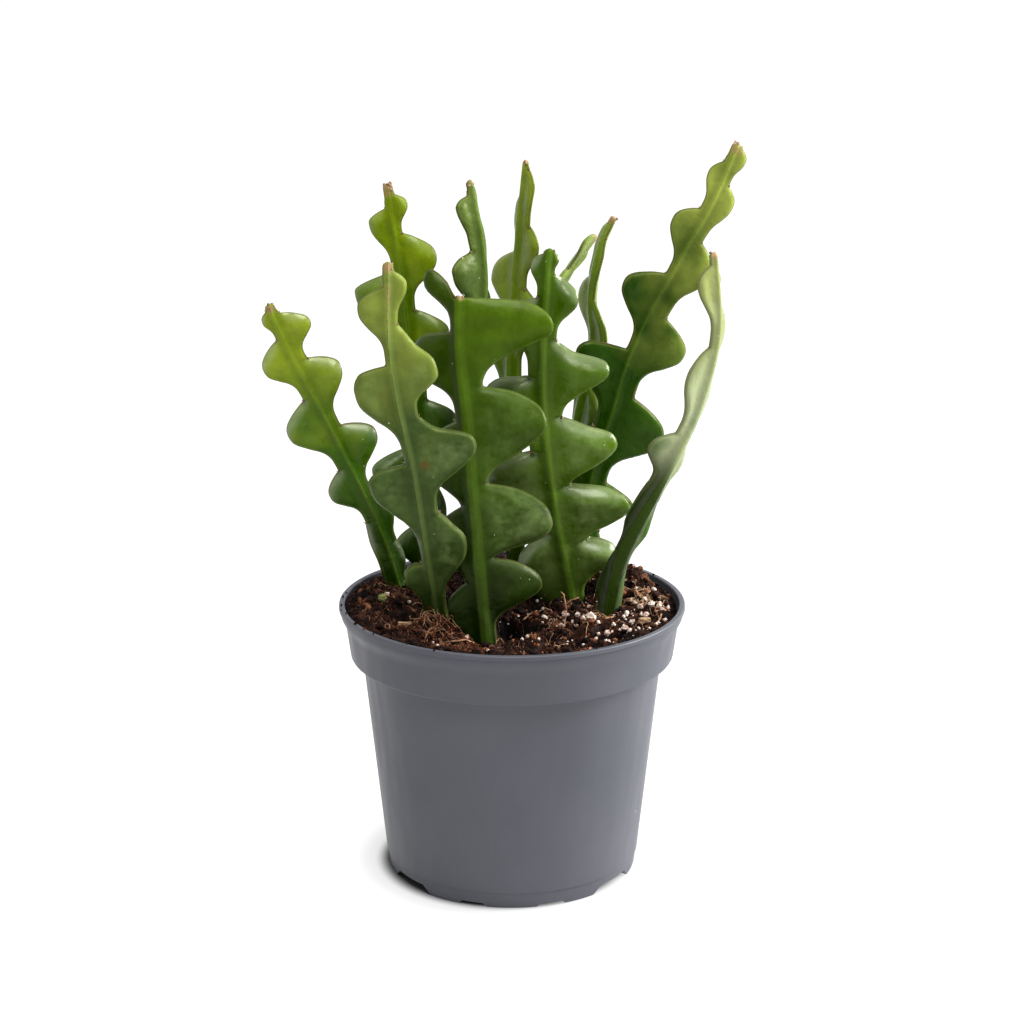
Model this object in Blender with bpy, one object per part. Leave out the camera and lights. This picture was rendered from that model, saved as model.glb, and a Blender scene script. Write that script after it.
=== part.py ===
"""A fishbone cactus in a small plastic nursery pot.

The pot is one moulding, the potting mix is one plug with a socket for every rooted stem, and each
stem is one solid: a flat blade with a rib up its middle and lobes that alternate from side to side.
Perlite grains, bark chips and a tuft of moss lie on the mix.  +Z is up, the front faces -Y, and the
origin is on the surface that the pot stands on, below the middle of the whole plant's outline.
Tables are in millimetres, from the pot's own axis.
"""

import math
import random

import bmesh
import bpy
import numpy as np
from mathutils import Matrix, Vector
from mathutils.noise import noise

MM = 0.001
CLEARANCE = 0.35  # gap kept between pieces that touch
SOCKET_CLEARANCE = 0.5  # the same round a buried stem, whose sides slope
POT_AXIS = (1.5, 0, 0)  # where the pot's axis stands, because the stems reach further to the left

# ---- Pot ------------------------------------------------------------------------------------------
POT_SEGMENTS = 48
FOOT_RADIUS = 21.85
RIM_RADIUS = 30.0
RIM_TOP = 48.2
SHOULDER = 38.7  # height where the straight body meets the flat step under the wider band
BODY_TOP_RADIUS = 26.05
BAND_RADIUS = (28.1, 28.8)  # lower edge of the band, and where it starts to flare
BAND_HEIGHT = (39.0, 44.3)
FLARE = ((29.15, 45.3), (29.6, 46.2), (29.75, 47.0))  # radius and height up to the underside of the lip
WALL = 0.9
FLOOR_UNDER, FLOOR_TOP = 2.4, 3.4
FOOT_LEDGE = 3.0
LEDGE_STEP = 0.15
LIP_WIDTH, LIP_HEIGHT = 1.0, 0.8
LIP_ROUNDING = 0.25
DRAIN_RADIUS = 2.3
DRAIN_RING = 13.5
DRAIN_COUNT = 6
NOTCH_STEP = 36
NOTCH_WIDE = (10.7, 7.2, 1.6)  # the wide cut-outs in the foot ring: width below and above, and height
NOTCH_SLIM = (5.4, 3.7, 0.75)
WIDE_NOTCHES_AT = (54, 126, 234, 306)

# ---- Potting mix ----------------------------------------------------------------------------------
MIX_LEVEL = 46.3
MIX_RADIUS = 27.9
MIX_RINGS = 11
MIX_SPOKES = 40
# Mounds and hollows of the surface: x, y, rise and spread.
MOUNDS = (
    (19, 11, 4.4, 8.0),
    (10, 2, -1.4, 5.0),
    (18, -6, 1.2, 5.0),
    (-14, -8, 1.6, 5.0),
    (-22, 8, 1.4, 6.0),
    (-27, -3, 2.0, 6.0),
    (0, 17, 1.8, 8.0),
    (-4, -15, -1.4, 5.0),
    (8, -19, -1.6, 5.0),
)
SEAT_GAP = 0.42  # height of the loose pieces over the surface of the mix
GRAINS = (  # perlite on the surface: x, y, radius
    (13.3, -9.5, 1.25),
    (24.0, -3.7, 0.75),
    (22.0, -5.6, 0.6),
    (22.9, -7.4, 0.65),
    (20.3, -11.3, 0.55),
    (16.0, -14.5, 0.6),
    (18.9, -14.1, 0.7),
    (9.0, -5.5, 0.75),
    (11.2, -6.9, 0.65),
    (-21.8, -0.3, 0.6),
    (-24.6, -5.4, 0.55),
    (-7.6, -15.2, 0.5),
)
GRAIN_SQUASH = (0.7, 1.0)  # least and most width of a grain over its length
CHIPS = (  # bark on the surface: x, y, length, width, thickness, turn in degrees
    (22.6, -9.5, 2.1, 1.4, 0.7, 10),
    (-18.0, -12.8, 2.6, 0.6, 0.45, 5),
    (3.5, 24.0, 3.4, 1.5, 0.6, 20),
    (-13.0, 21.0, 2.8, 1.3, 0.6, 140),
)
CHIP_TAPER = 0.6
MOSS = (-22.3, -3.4, 0.95)
SEED = 7

# ---- Stems ----------------------------------------------------------------------------------------
FOOT_DEPTH = 8.5  # length of stem below the surface of the mix
ROW_STEP = 1.25  # distance between the cross-sections of a stem
RIB_THICK = (1.9, 0.85)  # half thickness at the rib, at the foot and at the tip
EDGE_THICK = (0.8, 0.5)  # half thickness of the blade's edge
FOOT_WAIST = 2.1  # half width of the blade where it comes out of the mix
PEG_HALF_WIDTH = 1.7
TIP_HALF_WIDTH = 0.75
BEND = 0.9  # how far the lobes lean out of the blade's plane

# Each stem: route of the rib from the surface of the mix to the growing tip; the way that the blade
# faces from foot to tip, in degrees to the right of straight ahead; how far each wing folds forward;
# and the lobes of each wing from the foot up.  A lobe is (height of its tip, reach of its tip, height
# of the notch above it, reach of that notch, fullness of its shoulder from -1 to 1, lift of its
# shoulder, swell of its lower flank from 0 to 1), with heights along the rib and reaches from it; the
# last three may be left out.  "start" holds the heights where the lowest lobes begin,
# left and right, which may be buried.
STEMS = {
    "stem_far_left": dict(
        route=((-20.2, 8, 47), (-22.4, 8, 56), (-25.6, 7, 65.2), (-31.5, 5.5, 78.6),
               (-35.7, 4.5, 87.2), (-38.7, 4, 93.2), (-41.2, 3.5, 99.6)),
        facing=(35, 10, -5, -5),
        fold=(4, 4),
        left=((9.5, 2.4, 14.2, 2.0), (21.5, 5.8, 25, 2.5), (34.5, 7.7, 39.2, 2.2),
              (47.1, 5.8, 50.7, 1.3), (54.4, 2.4, 56, 0.9)),
        right=((6.5, 3.0, 9.5, 2.2), (14.3, 3.2, 19.5, 1.4), (29, 6.5, 32.5, 1.6),
               (42.4, 6.6, 45.6, 2.2), (52, 5.6, 55, 1.2)),
    ),
    "stem_front_left": dict(
        route=((-12.9, -7.3, 47.8), (-14.6, -12, 61.3), (-16.5, -14.5, 75.3), (-19.1, -15, 88.6),
               (-20.1, -15, 98.4), (-19.9, -15, 109.9)),
        facing=(-6, 0, 6),
        fold=(4, 6),
        left=((9, 4.2, 11.4, 0.9, 0.5), (27.5, 7.4, 30, 0.9, 0.8), (43.2, 6.5, 46.8, 0.8, 1),
              (56.3, 4.8, 59.6, 0.8)),
        right=((15.2, 7.2, 20.8, 3.3, -0.3), (31.8, 11.4, 37.5, 3.1, -0.9),
               (44.8, 7.5, 53.5, 1.7, -0.5), (60, 3.1, 62.3, 0.9)),
    ),
    "stem_back_left": dict(
        route=((-15.5, 14.5, 47.5), (-15.8, 15, 62), (-17, 15, 80), (-18.8, 14.5, 100),
               (-20.2, 14, 111), (-21.4, 14, 118.6)),
        facing=(8, 0, -4),
        fold=(3, 8),
        left=((6.3, 5.2, 9.6, 2.4), (20.8, 8.8, 24.3, 2.4), (35.3, 7.4, 38.3, 2),
              (53, 8.6, 56, 1.6), (65, 4.4, 67.3, 1.1)),
        right=((12.4, 4.0, 17.5, 2.2), (29.5, 6.8, 32.7, 2.2), (44.9, 7.1, 48.9, 1.7),
               (57.9, 6.4, 62.6, 1.2), (67.6, 2.9, 69.5, 0.9)),
    ),
    "stem_front_centre": dict(
        route=((-4.6, -12.7, 45.5), (-5.4, -11.5, 54), (-6.6, -9.6, 68.1), (-7.7, -8, 81.9),
               (-8.9, -6.5, 94), (-8.9, -6, 102.8)),
        facing=(6, 2, 0),
        fold=(-30, -4),
        left=((5.5, 6.2, 9.6, 2.6, 0, 0, 1), (17, 8.4, 22.6, 2.2, 0, 0, 0.5), (33, 8.2, 37, 1.8, 0, 0, 1),
               (47.8, 9.4, 51.8, 1.5, 1), (60.3, 6.6, 57.4, 0.5, 0, 3)),
        right=((8, 10.8, 13.6, 2.7, 0.3), (19, 13.2, 26.2, 2.7, 0.3, 0, 1),
               (35.9, 13.4, 42.4, 3.4, 0.3, 0, 0.5), (52.6, 15.8, 57.6, 0.8, 0.85, 0.6, 0.3)),
        start=(-4, 0.5),
    ),
    "stem_rear_left_slim": dict(
        route=((-6.5, 12.5, 48), (-6.8, 12.2, 62), (-8, 11, 80), (-6.2, 10.3, 94), (-4.9, 10, 101),
               (-5.5, 9.5, 110), (-7.2, 9, 119.8)),
        facing=(45, 48, 45),
        fold=(0, -30),
        left=((7, 5.0, 11, 1.8), (24, 7.6, 29, 2.4), (40.5, 8.2, 45, 2.6),
              (57.8, 7.4, 60.4, 2.6, 0.4), (68.4, 4.0, 70, 1.2, 0.5)),
        right=((9, 6.0, 13, 2.4), (21.5, 7.0, 25.5, 2.2), (36, 6.4, 40, 1.8), (50, 5.4, 54, 1.3),
               (62.4, 3.2, 66, 0.9), (70.4, 1.7, 71.6, 0.7)),
    ),
    "stem_rear_centre": dict(
        route=((0.8, 17.5, 48), (0, 18, 64), (-0.2, 18, 85.4), (0.5, 18, 99.4), (1.2, 17.5, 109.2),
               (2.4, 17, 122.2)),
        facing=(-40, -45, -62),
        fold=(0, 0),
        left=((12, 7.0, 16, 2.4), (27, 8.0, 31.5, 2.5), (41, 5.6, 44, 1.8), (53.6, 6.8, 58.2, 0.9),
              (65, 2.2, 68, 0.8)),
        right=((17, 7.6, 21.5, 2.4), (32, 8.6, 36, 2.4), (47, 7.4, 52, 2.8), (60, 6.2, 63.2, 3.0),
               (69.3, 3.4, 73, 1.2)),
    ),
    "stem_middle_right": dict(
        route=((10.7, 4.7, 47.4), (9, 3.4, 56), (7, 1.6, 68), (5.5, -0.2, 82), (5.3, -1, 94),
               (6.3, -1, 109.8)),
        facing=(4, 4, 0),
        fold=(-10, 6),
        left=((7, 8.4, 12.6, 2.8, 0, 0, 1), (23.8, 11.2, 27.9, 3.1, 1, 0, 0.4), (38, 10.2, 41.3, 2.6, 0.8),
               (51, 6.5, 54.8, 1.6), (60.3, 3.1, 62.4, 0.9)),
        right=((7.2, 9.0, 10.2, 4.4, 0.3, 0, 0.35), (15.3, 12.9, 21.2, 2.9, 0.6, 0, 0.6),
               (27.8, 11.9, 33.8, 2.9, -0.35, 0, 0.6), (42.8, 11.2, 47.6, 2.2, -0.8, 0, 0.3),
               (55, 5.4, 59, 1.1), (61.5, 1.7, 62.8, 0.8)),
        start=(-4, 0.5),
    ),
    "stem_rear_leaning": dict(
        route=((6.8, 21, 48), (5.5, 21.5, 62), (5.2, 20, 80), (6.5, 17.5, 94.7), (9.7, 15.5, 102.8),
               (14.3, 14.5, 109.6)),
        facing=(60, 66, 72),
        fold=(0, 0),
        left=((11, 4.2, 15, 2), (26, 4.4, 30, 2), (41, 4.4, 45, 1.8), (54, 4.6, 57.4, 1.6),
              (62.6, 3.4, 65, 1)),
        right=((18, 4.2, 22, 2), (34, 4.4, 38, 1.8), (48, 4.6, 51.6, 1.6), (59.6, 5, 62, 1)),
    ),
    "stem_rear_right_slim": dict(
        route=((12, 19.3, 48), (12, 21, 60), (12, 22, 74), (14.7, 21.5, 88), (14.2, 20.8, 97),
               (15.5, 20.3, 106), (17.8, 20, 112)),
        facing=(-50, -66, -70),
        fold=(0, 0),
        left=((9, 5.0, 13, 2.2), (22, 7.2, 27, 2.4), (36, 7.2, 40.6, 2.4), (49.5, 6.4, 53.6, 2.2),
              (61.6, 2.6, 63.9, 0.9)),
        right=((16, 6.0, 20, 2.2), (29.5, 6.4, 34, 1.8), (43, 4.2, 50, 0.8), (56.5, 1.4, 61, 0.8)),
    ),
    "stem_tall_right": dict(
        route=((13.2, 13, 48.5), (13.6, 13, 65), (17.6, 12.6, 79), (21.3, 12, 91), (29, 11, 106.4),
               (34.2, 11, 115.8), (38.3, 11, 125.8)),
        facing=(8, 4, 0),
        fold=(3, 0),
        left=((10, 5.5, 14, 2.4), (23.5, 6.4, 27.4, 2.4), (39.8, 9.3, 42.4, 1.0, 1),
              (53, 6.7, 57.2, 1.0), (66.3, 4.7, 69.8, 1.5), (76.2, 2.8, 78.8, 1.1)),
        right=((3.6, 3.0, 8.2, 2.4), (12.8, 8.4, 17.8, 3.0), (28.2, 10.7, 34.2, 3.1),
               (45, 9.2, 50.1, 3.1), (60.5, 6.2, 64.8, 2), (72.4, 3.6, 75.2, 1.4), (80, 2.5, 82, 0.9)),
    ),
    "stem_front_right": dict(
        route=((16.3, -5.6, 47.2), (18.3, -5.5, 56.5), (21.2, -5.3, 63.2), (25.4, -4.9, 71.6),
               (30, -4.2, 80.6), (33, -4, 90), (34.1, -4, 98), (33.2, -4, 109.6)),
        facing=(10, 15, 35, 50, 50, 50),
        fold=((-25, -60, -12, -8, -8, -8), (-10, -15, -22, -22, -22, -22)),
        left=((4.5, 3.0, 11.5, 1.7), (17.5, 2.4, 24.6, 1.8), (30, 5.2, 34, 2.2), (43.5, 4.4, 50, 1.2),
               (61, 3.8, 64, 0.9)),
        right=((4, 2.0, 9.5, 1.6), (17, 2.7, 22, 1.9), (30, 4.0, 33.5, 1.5), (41.5, 5.6, 45.5, 1.4),
               (54, 5.6, 57.8, 1.1), (61.5, 2.8, 63.6, 0.9)),
    ),
}
# How a lobe's edge leaves and comes back to the rib: share of its height, and share of its reach.
# FULL_FLANK is the same for a swollen lobe.
FLANK = ((0.14, 0.0), (0.32, 0.04), (0.48, 0.22), (0.64, 0.58), (0.82, 0.92))
FULL_FLANK = ((0.10, 0.10), (0.22, 0.34), (0.38, 0.68), (0.60, 0.90), (0.82, 0.98))
SHOULDER_SHARES = (0.30, 0.57, 0.82)
SHOULDER_FALL = {-1: (0.14, 0.72, 0.92), 0: (0.08, 0.32, 0.67), 1: (0.02, 0.10, 0.30)}
SHOULDER_LIFT = (0.8, 1.0, 0.7)


def lerp(pair, share):
    return pair[0] + (pair[1] - pair[0]) * share


def smooth_curve(points, steps=10):
    """Points along a smooth curve that passes through the given ones (Catmull-Rom)."""
    p = np.array(points, float)
    p = np.vstack([2 * p[0] - p[1], p, 2 * p[-1] - p[-2]])
    out = []
    for a, b, c, d in zip(p[:-3], p[1:-2], p[2:-1], p[3:]):
        for t in np.arange(steps) / steps:
            out.append(0.5 * (2 * b + (c - a) * t + (2 * a - 5 * b + 4 * c - d) * t ** 2
                              + (3 * b - a - 3 * c + d) * t ** 3))
    out.append(p[-2])
    return np.array(out)


def run_lengths(points):
    """Distance along a line of points, from its start."""
    return np.r_[0, np.cumsum(np.linalg.norm(np.diff(points, axis=0), axis=1))]


def read_at(points, lengths, where):
    return np.array([np.interp(where, lengths, column) for column in points.T])


class Stem:
    """One stem in millimetres: its rib, the way it faces, and the outline of its two wings."""

    def __init__(self, route, facing, fold, left, right, start=(0.5, 0.5)):
        rib = smooth_curve(route)
        down = (rib[0] - rib[1]) / np.linalg.norm(rib[0] - rib[1])
        self.rib = np.vstack([rib[0] + down * FOOT_DEPTH, rib])
        self.lengths = run_lengths(self.rib) - FOOT_DEPTH
        self.length = self.lengths[-1]
        self.facing = facing
        self.fold = {-1: np.atleast_1d(fold[0]), 1: np.atleast_1d(fold[1])}
        self.edges = {-1: self.wing_outline(left, start[0]), 1: self.wing_outline(right, start[1])}

    def share(self, height):
        return min(max(height / self.length, 0), 1)

    def lobe_outline(self, low, low_reach, tip, reach, high, high_reach, full=0, lift=0, swell=0):
        """The edge of one lobe from the notch below it to the notch above: flank, tip and shoulder."""
        rise, fall = tip - low, high - tip
        points = [(low, low_reach)]
        for plain, swollen in zip(FLANK, FULL_FLANK):
            up, out = (lerp(pair, swell) for pair in zip(plain, swollen))
            points.append((low + rise * up, low_reach + (reach - low_reach) * out))
        points.append((tip, reach))
        strongest = SHOULDER_FALL[1 if full > 0 else -1]
        falls = zip(SHOULDER_SHARES, SHOULDER_FALL[0], strongest, SHOULDER_LIFT)
        for share, plain, strong, raised in falls:
            drop = lerp((plain, strong), abs(full))
            points.append((tip + fall * share + lift * raised, reach - (reach - high_reach) * drop))
        points.append((high, high_reach))
        return smooth_curve(points, 6)

    def wing_outline(self, lobes, start):
        """(height of the lower notch, height of the upper notch, edge points) of every lobe of a wing."""
        made, low, low_reach = [], start, FOOT_WAIST
        for tip, reach, high, high_reach, *shape in lobes:
            outline = self.lobe_outline(low, low_reach, tip, reach, high, high_reach, *shape)
            made.append((low, high, outline))
            low, low_reach = high, high_reach
        if low < self.length:
            middle = lerp((low, self.length), 0.5), TIP_HALF_WIDTH * 1.2
            outline = self.lobe_outline(low, low_reach, *middle, self.length, TIP_HALF_WIDTH, 1)
            made.append((low, self.length, outline))
        return made

    def edge(self, side, height):
        """(height, reach) of the wing's edge for the cross-section that starts at this height."""
        if height <= self.edges[side][0][0]:
            return height, lerp((PEG_HALF_WIDTH, FOOT_WAIST), min(1, 1 + height / FOOT_DEPTH))
        for low, high, points in self.edges[side]:
            if height <= high:
                lengths = run_lengths(points)
                return read_at(points, lengths, lengths[-1] * (height - low) / (high - low))
        return self.length, TIP_HALF_WIDTH

    def frame(self, height):
        """Point on the rib, and the blade's sideways and facing directions there."""
        inside = min(max(height, -FOOT_DEPTH), self.length)
        at = read_at(self.rib, self.lengths, inside)
        ahead = read_at(self.rib, self.lengths, min(inside + 0.9, self.length))
        behind = read_at(self.rib, self.lengths, max(inside - 0.9, -FOOT_DEPTH))
        along = (ahead - behind) / np.linalg.norm(ahead - behind)
        turn = math.radians(np.interp(self.share(height), np.linspace(0, 1, len(self.facing)), self.facing))
        side = np.cross(along, (math.sin(turn), -math.cos(turn), 0))
        side /= np.linalg.norm(side)
        return at + along * (height - inside), side, np.cross(side, along)

    def point(self, height, reach, out):
        """Where a spot of the blade lies: height along the rib, reach to the right, out of the face."""
        at, side, face = self.frame(height)
        wing = -1 if reach < 0 else 1
        folds = self.fold[wing]
        fold = math.radians(np.interp(self.share(height), np.linspace(0, 1, len(folds)), folds))
        far = abs(reach)
        lean = BEND * (far / 10) ** 2 * math.sin(0.33 * height + 1.3 * wing + self.length)
        across = side * wing * math.cos(fold) + face * math.sin(fold)
        upright = face * math.cos(fold) - side * wing * math.sin(fold)
        return at + across * far + upright * (out + lean)

    def section(self, height, grow):
        """Six points round the stem: left edge, rib and right edge in front, and the same behind."""
        share = self.share(height)
        rib, thin = lerp(RIB_THICK, share) + grow, lerp(EDGE_THICK, share) + grow
        left, right = self.edge(-1, height), self.edge(1, height)
        rows = ((left[0], -left[1] - grow, thin), (height, 0, rib), (right[0], right[1] + grow, thin))
        front = [self.point(h, r, o) for h, r, o in rows]
        back = [self.point(h, r, -o) for h, r, o in reversed(rows)]
        return front + back

    def rings(self, grow=0.0, top=None):
        top = self.length if top is None else top
        count = max(2, round((top + FOOT_DEPTH) / ROW_STEP))
        heights = np.linspace(-FOOT_DEPTH - grow, top, count + 1)
        return [self.section(h, grow) for h in heights]


def new_object(name, mesh, material):
    mesh.materials.append(material)
    made = bpy.data.objects.new(name, mesh)
    bpy.context.scene.collection.objects.link(made)
    return made


def mesh_from(name, verts, faces):
    """A mesh in metres from points in millimetres, with its faces pointing out."""
    mesh = bpy.data.meshes.new(name)
    mesh.from_pydata([Vector(v) * MM for v in verts], [], faces)
    bm = bmesh.new()
    bm.from_mesh(mesh)
    bmesh.ops.recalc_face_normals(bm, faces=bm.faces)
    bm.to_mesh(mesh)
    bm.free()
    return mesh


def tube_faces(rings, closed_loop=False):
    """Faces between rings of equal size; the ends are capped, or joined if the rings form a loop."""
    count, size = len(rings), len(rings[0])
    steps = count if closed_loop else count - 1
    faces = []
    for i in range(steps):
        a, b = i * size, (i + 1) % count * size
        for j in range(size):
            k = (j + 1) % size
            faces.append((a + j, a + k, b + k, b + j))
    if not closed_loop:
        faces += [tuple(range(size - 1, -1, -1)), tuple(range((count - 1) * size, count * size))]
    return faces


def lofted(name, rings):
    return mesh_from(name, [v for ring in rings for v in ring], tube_faces(rings))


def plain_material(name, color, roughness):
    material = bpy.data.materials.new(name)
    material.use_nodes = True
    shader = material.node_tree.nodes["Principled BSDF"]
    shader.inputs["Base Color"].default_value = (*color, 1)
    shader.inputs["Roughness"].default_value = roughness
    material.diffuse_color = (*color, 1)
    return material


def shade(target, angle=35):
    target.data.shade_smooth()
    target.data.set_sharp_from_angle(angle=math.radians(angle))


def cut(target, cutter):
    """Takes the cutter's shape out of the target with a Boolean modifier."""
    modifier = target.modifiers.new("cut_" + cutter.name, "BOOLEAN")
    modifier.operation = "DIFFERENCE"
    modifier.object = cutter
    cutter.hide_render = True
    cutter.display_type = "WIRE"


# ---- Pot ------------------------------------------------------------------------------------------
def wall_radius(height, inset=0.0):
    """Outer radius of the pot's wall at a height, less an inset."""
    heights = (FOOT_LEDGE, SHOULDER, SHOULDER + 0.1, BAND_HEIGHT[0], BAND_HEIGHT[1])
    radii = (FOOT_RADIUS + 0.3 + LEDGE_STEP, BODY_TOP_RADIUS, BODY_TOP_RADIUS, *BAND_RADIUS)
    return float(np.interp(height, heights, radii)) - inset


def pot_profile():
    """The section of the pot's wall, foot and floor as one closed loop of (radius, height)."""
    outer, inner = RIM_RADIUS - LIP_ROUNDING, RIM_RADIUS - LIP_WIDTH + LIP_ROUNDING
    lip = [(middle + LIP_ROUNDING * math.cos(a), RIM_TOP - LIP_ROUNDING * (1 - math.sin(a)))
           for middle, turns in ((outer, (0, 45, 90)), (inner, (90, 135, 180))) for a in np.radians(turns)]
    return [
        (FOOT_RADIUS - 1.3, 0), (FOOT_RADIUS - 0.3, 0), (FOOT_RADIUS, 0.5),
        (FOOT_RADIUS + 0.3, FOOT_LEDGE - 0.1), (wall_radius(FOOT_LEDGE), FOOT_LEDGE),
        (BODY_TOP_RADIUS, SHOULDER), (BAND_RADIUS[0] - 0.2, BAND_HEIGHT[0]),
        (BAND_RADIUS[0], BAND_HEIGHT[0] + 0.2), BAND_RADIUS[1:] + BAND_HEIGHT[1:],
        *FLARE, (RIM_RADIUS, RIM_TOP - LIP_HEIGHT), *lip,
        (RIM_RADIUS - LIP_WIDTH, RIM_TOP - LIP_HEIGHT), (BAND_RADIUS[1] - WALL + 0.2, BAND_HEIGHT[1] + 0.4),
        (BAND_RADIUS[0] - WALL, BAND_HEIGHT[0] + WALL), (BODY_TOP_RADIUS - WALL, SHOULDER + WALL),
        (wall_radius(FLOOR_TOP, WALL), FLOOR_TOP + 0.8), (wall_radius(FLOOR_TOP, WALL) - 0.8, FLOOR_TOP),
        (DRAIN_RADIUS, FLOOR_TOP), (DRAIN_RADIUS, FLOOR_UNDER),
        (FOOT_RADIUS - 1.3, FLOOR_UNDER),
    ]


def turned(name, profile, segments):
    """A closed (radius, height) loop turned once round the axis."""
    rings = []
    for a in (np.arange(segments) + 0.37) * math.tau / segments:
        rings.append([(r * math.cos(a), r * math.sin(a), z) for r, z in profile])
    return mesh_from(name, [v for ring in rings for v in ring], tube_faces(rings, closed_loop=True))


def notch_cutter(angle, low_width, high_width, height):
    """A tapered block that opens the foot ring at an angle from the front."""
    mesh = bpy.data.meshes.new("foot_notch")
    bm = bmesh.new()
    bmesh.ops.create_cube(bm, size=MM)
    for v in bm.verts:
        width = high_width if v.co.z > 0 else 2 * low_width - high_width
        v.co = Vector((v.co.x * width, v.co.y * 4.4, v.co.z * 2 * height))
    turn = Matrix.Rotation(math.radians(angle), 4, "Z")
    bm.transform(turn @ Matrix.Translation((0, -(FOOT_RADIUS - 0.5) * MM, 0)))
    bm.to_mesh(mesh)
    bm.free()
    return mesh


def drain_cutter(angle):
    mesh = bpy.data.meshes.new("drain_hole")
    bm = bmesh.new()
    bmesh.ops.create_cone(bm, cap_ends=True, segments=14, radius1=DRAIN_RADIUS * MM,
                          radius2=DRAIN_RADIUS * MM, depth=4 * MM)
    spot = Matrix.Rotation(math.radians(angle), 4, "Z") @ Vector((0, -DRAIN_RING, FLOOR_UNDER))
    bm.transform(Matrix.Translation(spot * MM))
    bm.to_mesh(mesh)
    bm.free()
    return mesh


def make_pot():
    plastic = plain_material("pot_plastic", (0.13, 0.135, 0.15), 0.45)
    pot = new_object("pot", turned("pot", pot_profile(), POT_SEGMENTS), plastic)
    for angle in range(NOTCH_STEP // 2, 360, NOTCH_STEP):
        size = NOTCH_WIDE if angle in WIDE_NOTCHES_AT else NOTCH_SLIM
        cut(pot, new_object(f"foot_notch_{angle}", notch_cutter(angle, *size), plastic))
    for i in range(DRAIN_COUNT):
        angle = i * 360 / DRAIN_COUNT
        cut(pot, new_object(f"drain_hole_{i}", drain_cutter(angle), plastic))
    shade(pot)
    return pot


# ---- Potting mix ----------------------------------------------------------------------------------
def mix_height(x, y):
    """Height of the surface of the mix: its level, its mounds and hollows, and small unevenness."""
    rise = sum(h * math.exp(-((x - mx) ** 2 + (y - my) ** 2) / (2 * s * s)) for mx, my, h, s in MOUNDS)
    calm = min(1, max(0.1, (29 - math.hypot(x, y)) / 5))
    uneven = 0.9 * noise(Vector((x, y, 3)) * 0.22)
    return MIX_LEVEL + calm * (rise + uneven) + 0.35 * noise(Vector((x, y, 9)) * 0.5)


def mix_mesh(name):
    """A plug that fills the pot: flat below, following the wall, with the uneven surface on top."""
    gap = WALL + CLEARANCE
    low = FLOOR_TOP + CLEARANCE
    sides = [(wall_radius(FLOOR_TOP) - gap - 1.3, low), (wall_radius(FLOOR_TOP) - gap - 0.2, low + 1.2),
             (BODY_TOP_RADIUS - gap - 0.1, SHOULDER + gap + 0.1),
             (BAND_RADIUS[0] - gap - 0.3, BAND_HEIGHT[0] + gap + 0.1),
             (BAND_RADIUS[1] - gap - 0.1, BAND_HEIGHT[1] + 0.4)]
    top_radii = np.linspace(MIX_RADIUS, 0, MIX_RINGS + 1)[:-1]
    spin = np.linspace(0, math.tau, MIX_SPOKES, endpoint=False)
    rings = [[(r * math.cos(a), r * math.sin(a), z) for a in spin] for r, z in sides]
    for r in top_radii:
        spots = [(r * math.cos(a), r * math.sin(a)) for a in spin]
        rings.append([(x, y, mix_height(x, y)) for x, y in spots])
    return lofted(name, rings)


def make_mix(stems):
    peat = plain_material("peat", (0.035, 0.018, 0.01), 0.95)
    mix = new_object("potting_mix", mix_mesh("potting_mix"), peat)
    for name, stem in stems.items():
        rings = stem.rings(grow=SOCKET_CLEARANCE, top=20)
        cut(mix, new_object("socket_of_" + name, lofted(name, rings), peat))
    return mix


def seat(x, y, radius):
    """Height of the lowest point of a loose piece that lies over a disc of the mix."""
    ring = [(x + radius * math.cos(a), y + radius * math.sin(a)) for a in np.arange(0, math.tau, 0.7)]
    return SEAT_GAP + max(mix_height(*spot) for spot in [(x, y), *ring])


def make_grain(name, x, y, radius, material, dice):
    """A squashed ball, turned at random."""
    width = dice.uniform(*GRAIN_SQUASH)
    height = dice.uniform(*GRAIN_SQUASH)
    bm = bmesh.new()
    bmesh.ops.create_icosphere(bm, subdivisions=2, radius=radius * MM)
    bmesh.ops.scale(bm, vec=(1, width, height), verts=bm.verts)
    mesh = bpy.data.meshes.new(name)
    bm.to_mesh(mesh)
    bm.free()
    grain = new_object(name, mesh, material)
    grain.location = Vector((x, y, seat(x, y, radius) + height * radius)) * MM
    grain.rotation_euler.z = dice.uniform(0, math.tau)
    shade(grain, 60)


def make_chip(name, x, y, length, width, thickness, turn, material):
    """A flat chip with one end narrower than the other and its edges broken."""
    bm = bmesh.new()
    bmesh.ops.create_cube(bm, size=MM)
    for v in bm.verts:
        taper = CHIP_TAPER if v.co.x > 0 else 1
        v.co = Vector((v.co.x * length, v.co.y * width * taper, v.co.z * thickness))
    bmesh.ops.bevel(bm, geom=bm.edges, offset=thickness * 0.2 * MM, segments=1, affect="EDGES")
    mesh = bpy.data.meshes.new(name)
    bm.to_mesh(mesh)
    bm.free()
    chip = new_object(name, mesh, material)
    chip.location = Vector((x, y, seat(x, y, math.hypot(length, width) / 2) + thickness / 2)) * MM
    chip.rotation_euler.z = math.radians(turn)


def make_loose_pieces():
    """What lies on the mix: perlite, bark and a tuft of moss."""
    dice = random.Random(SEED)
    white = plain_material("perlite", (0.72, 0.66, 0.6), 0.9)
    for number, spot in enumerate(GRAINS, 1):
        make_grain(f"perlite_grain_{number}", *spot, white, dice)
    make_grain("moss_tuft", *MOSS, plain_material("moss", (0.2, 0.26, 0.06), 0.95), dice)
    brown = plain_material("bark", (0.3, 0.18, 0.09), 0.85)
    for number, shape in enumerate(CHIPS, 1):
        make_chip(f"bark_chip_{number}", *shape, brown)


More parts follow.
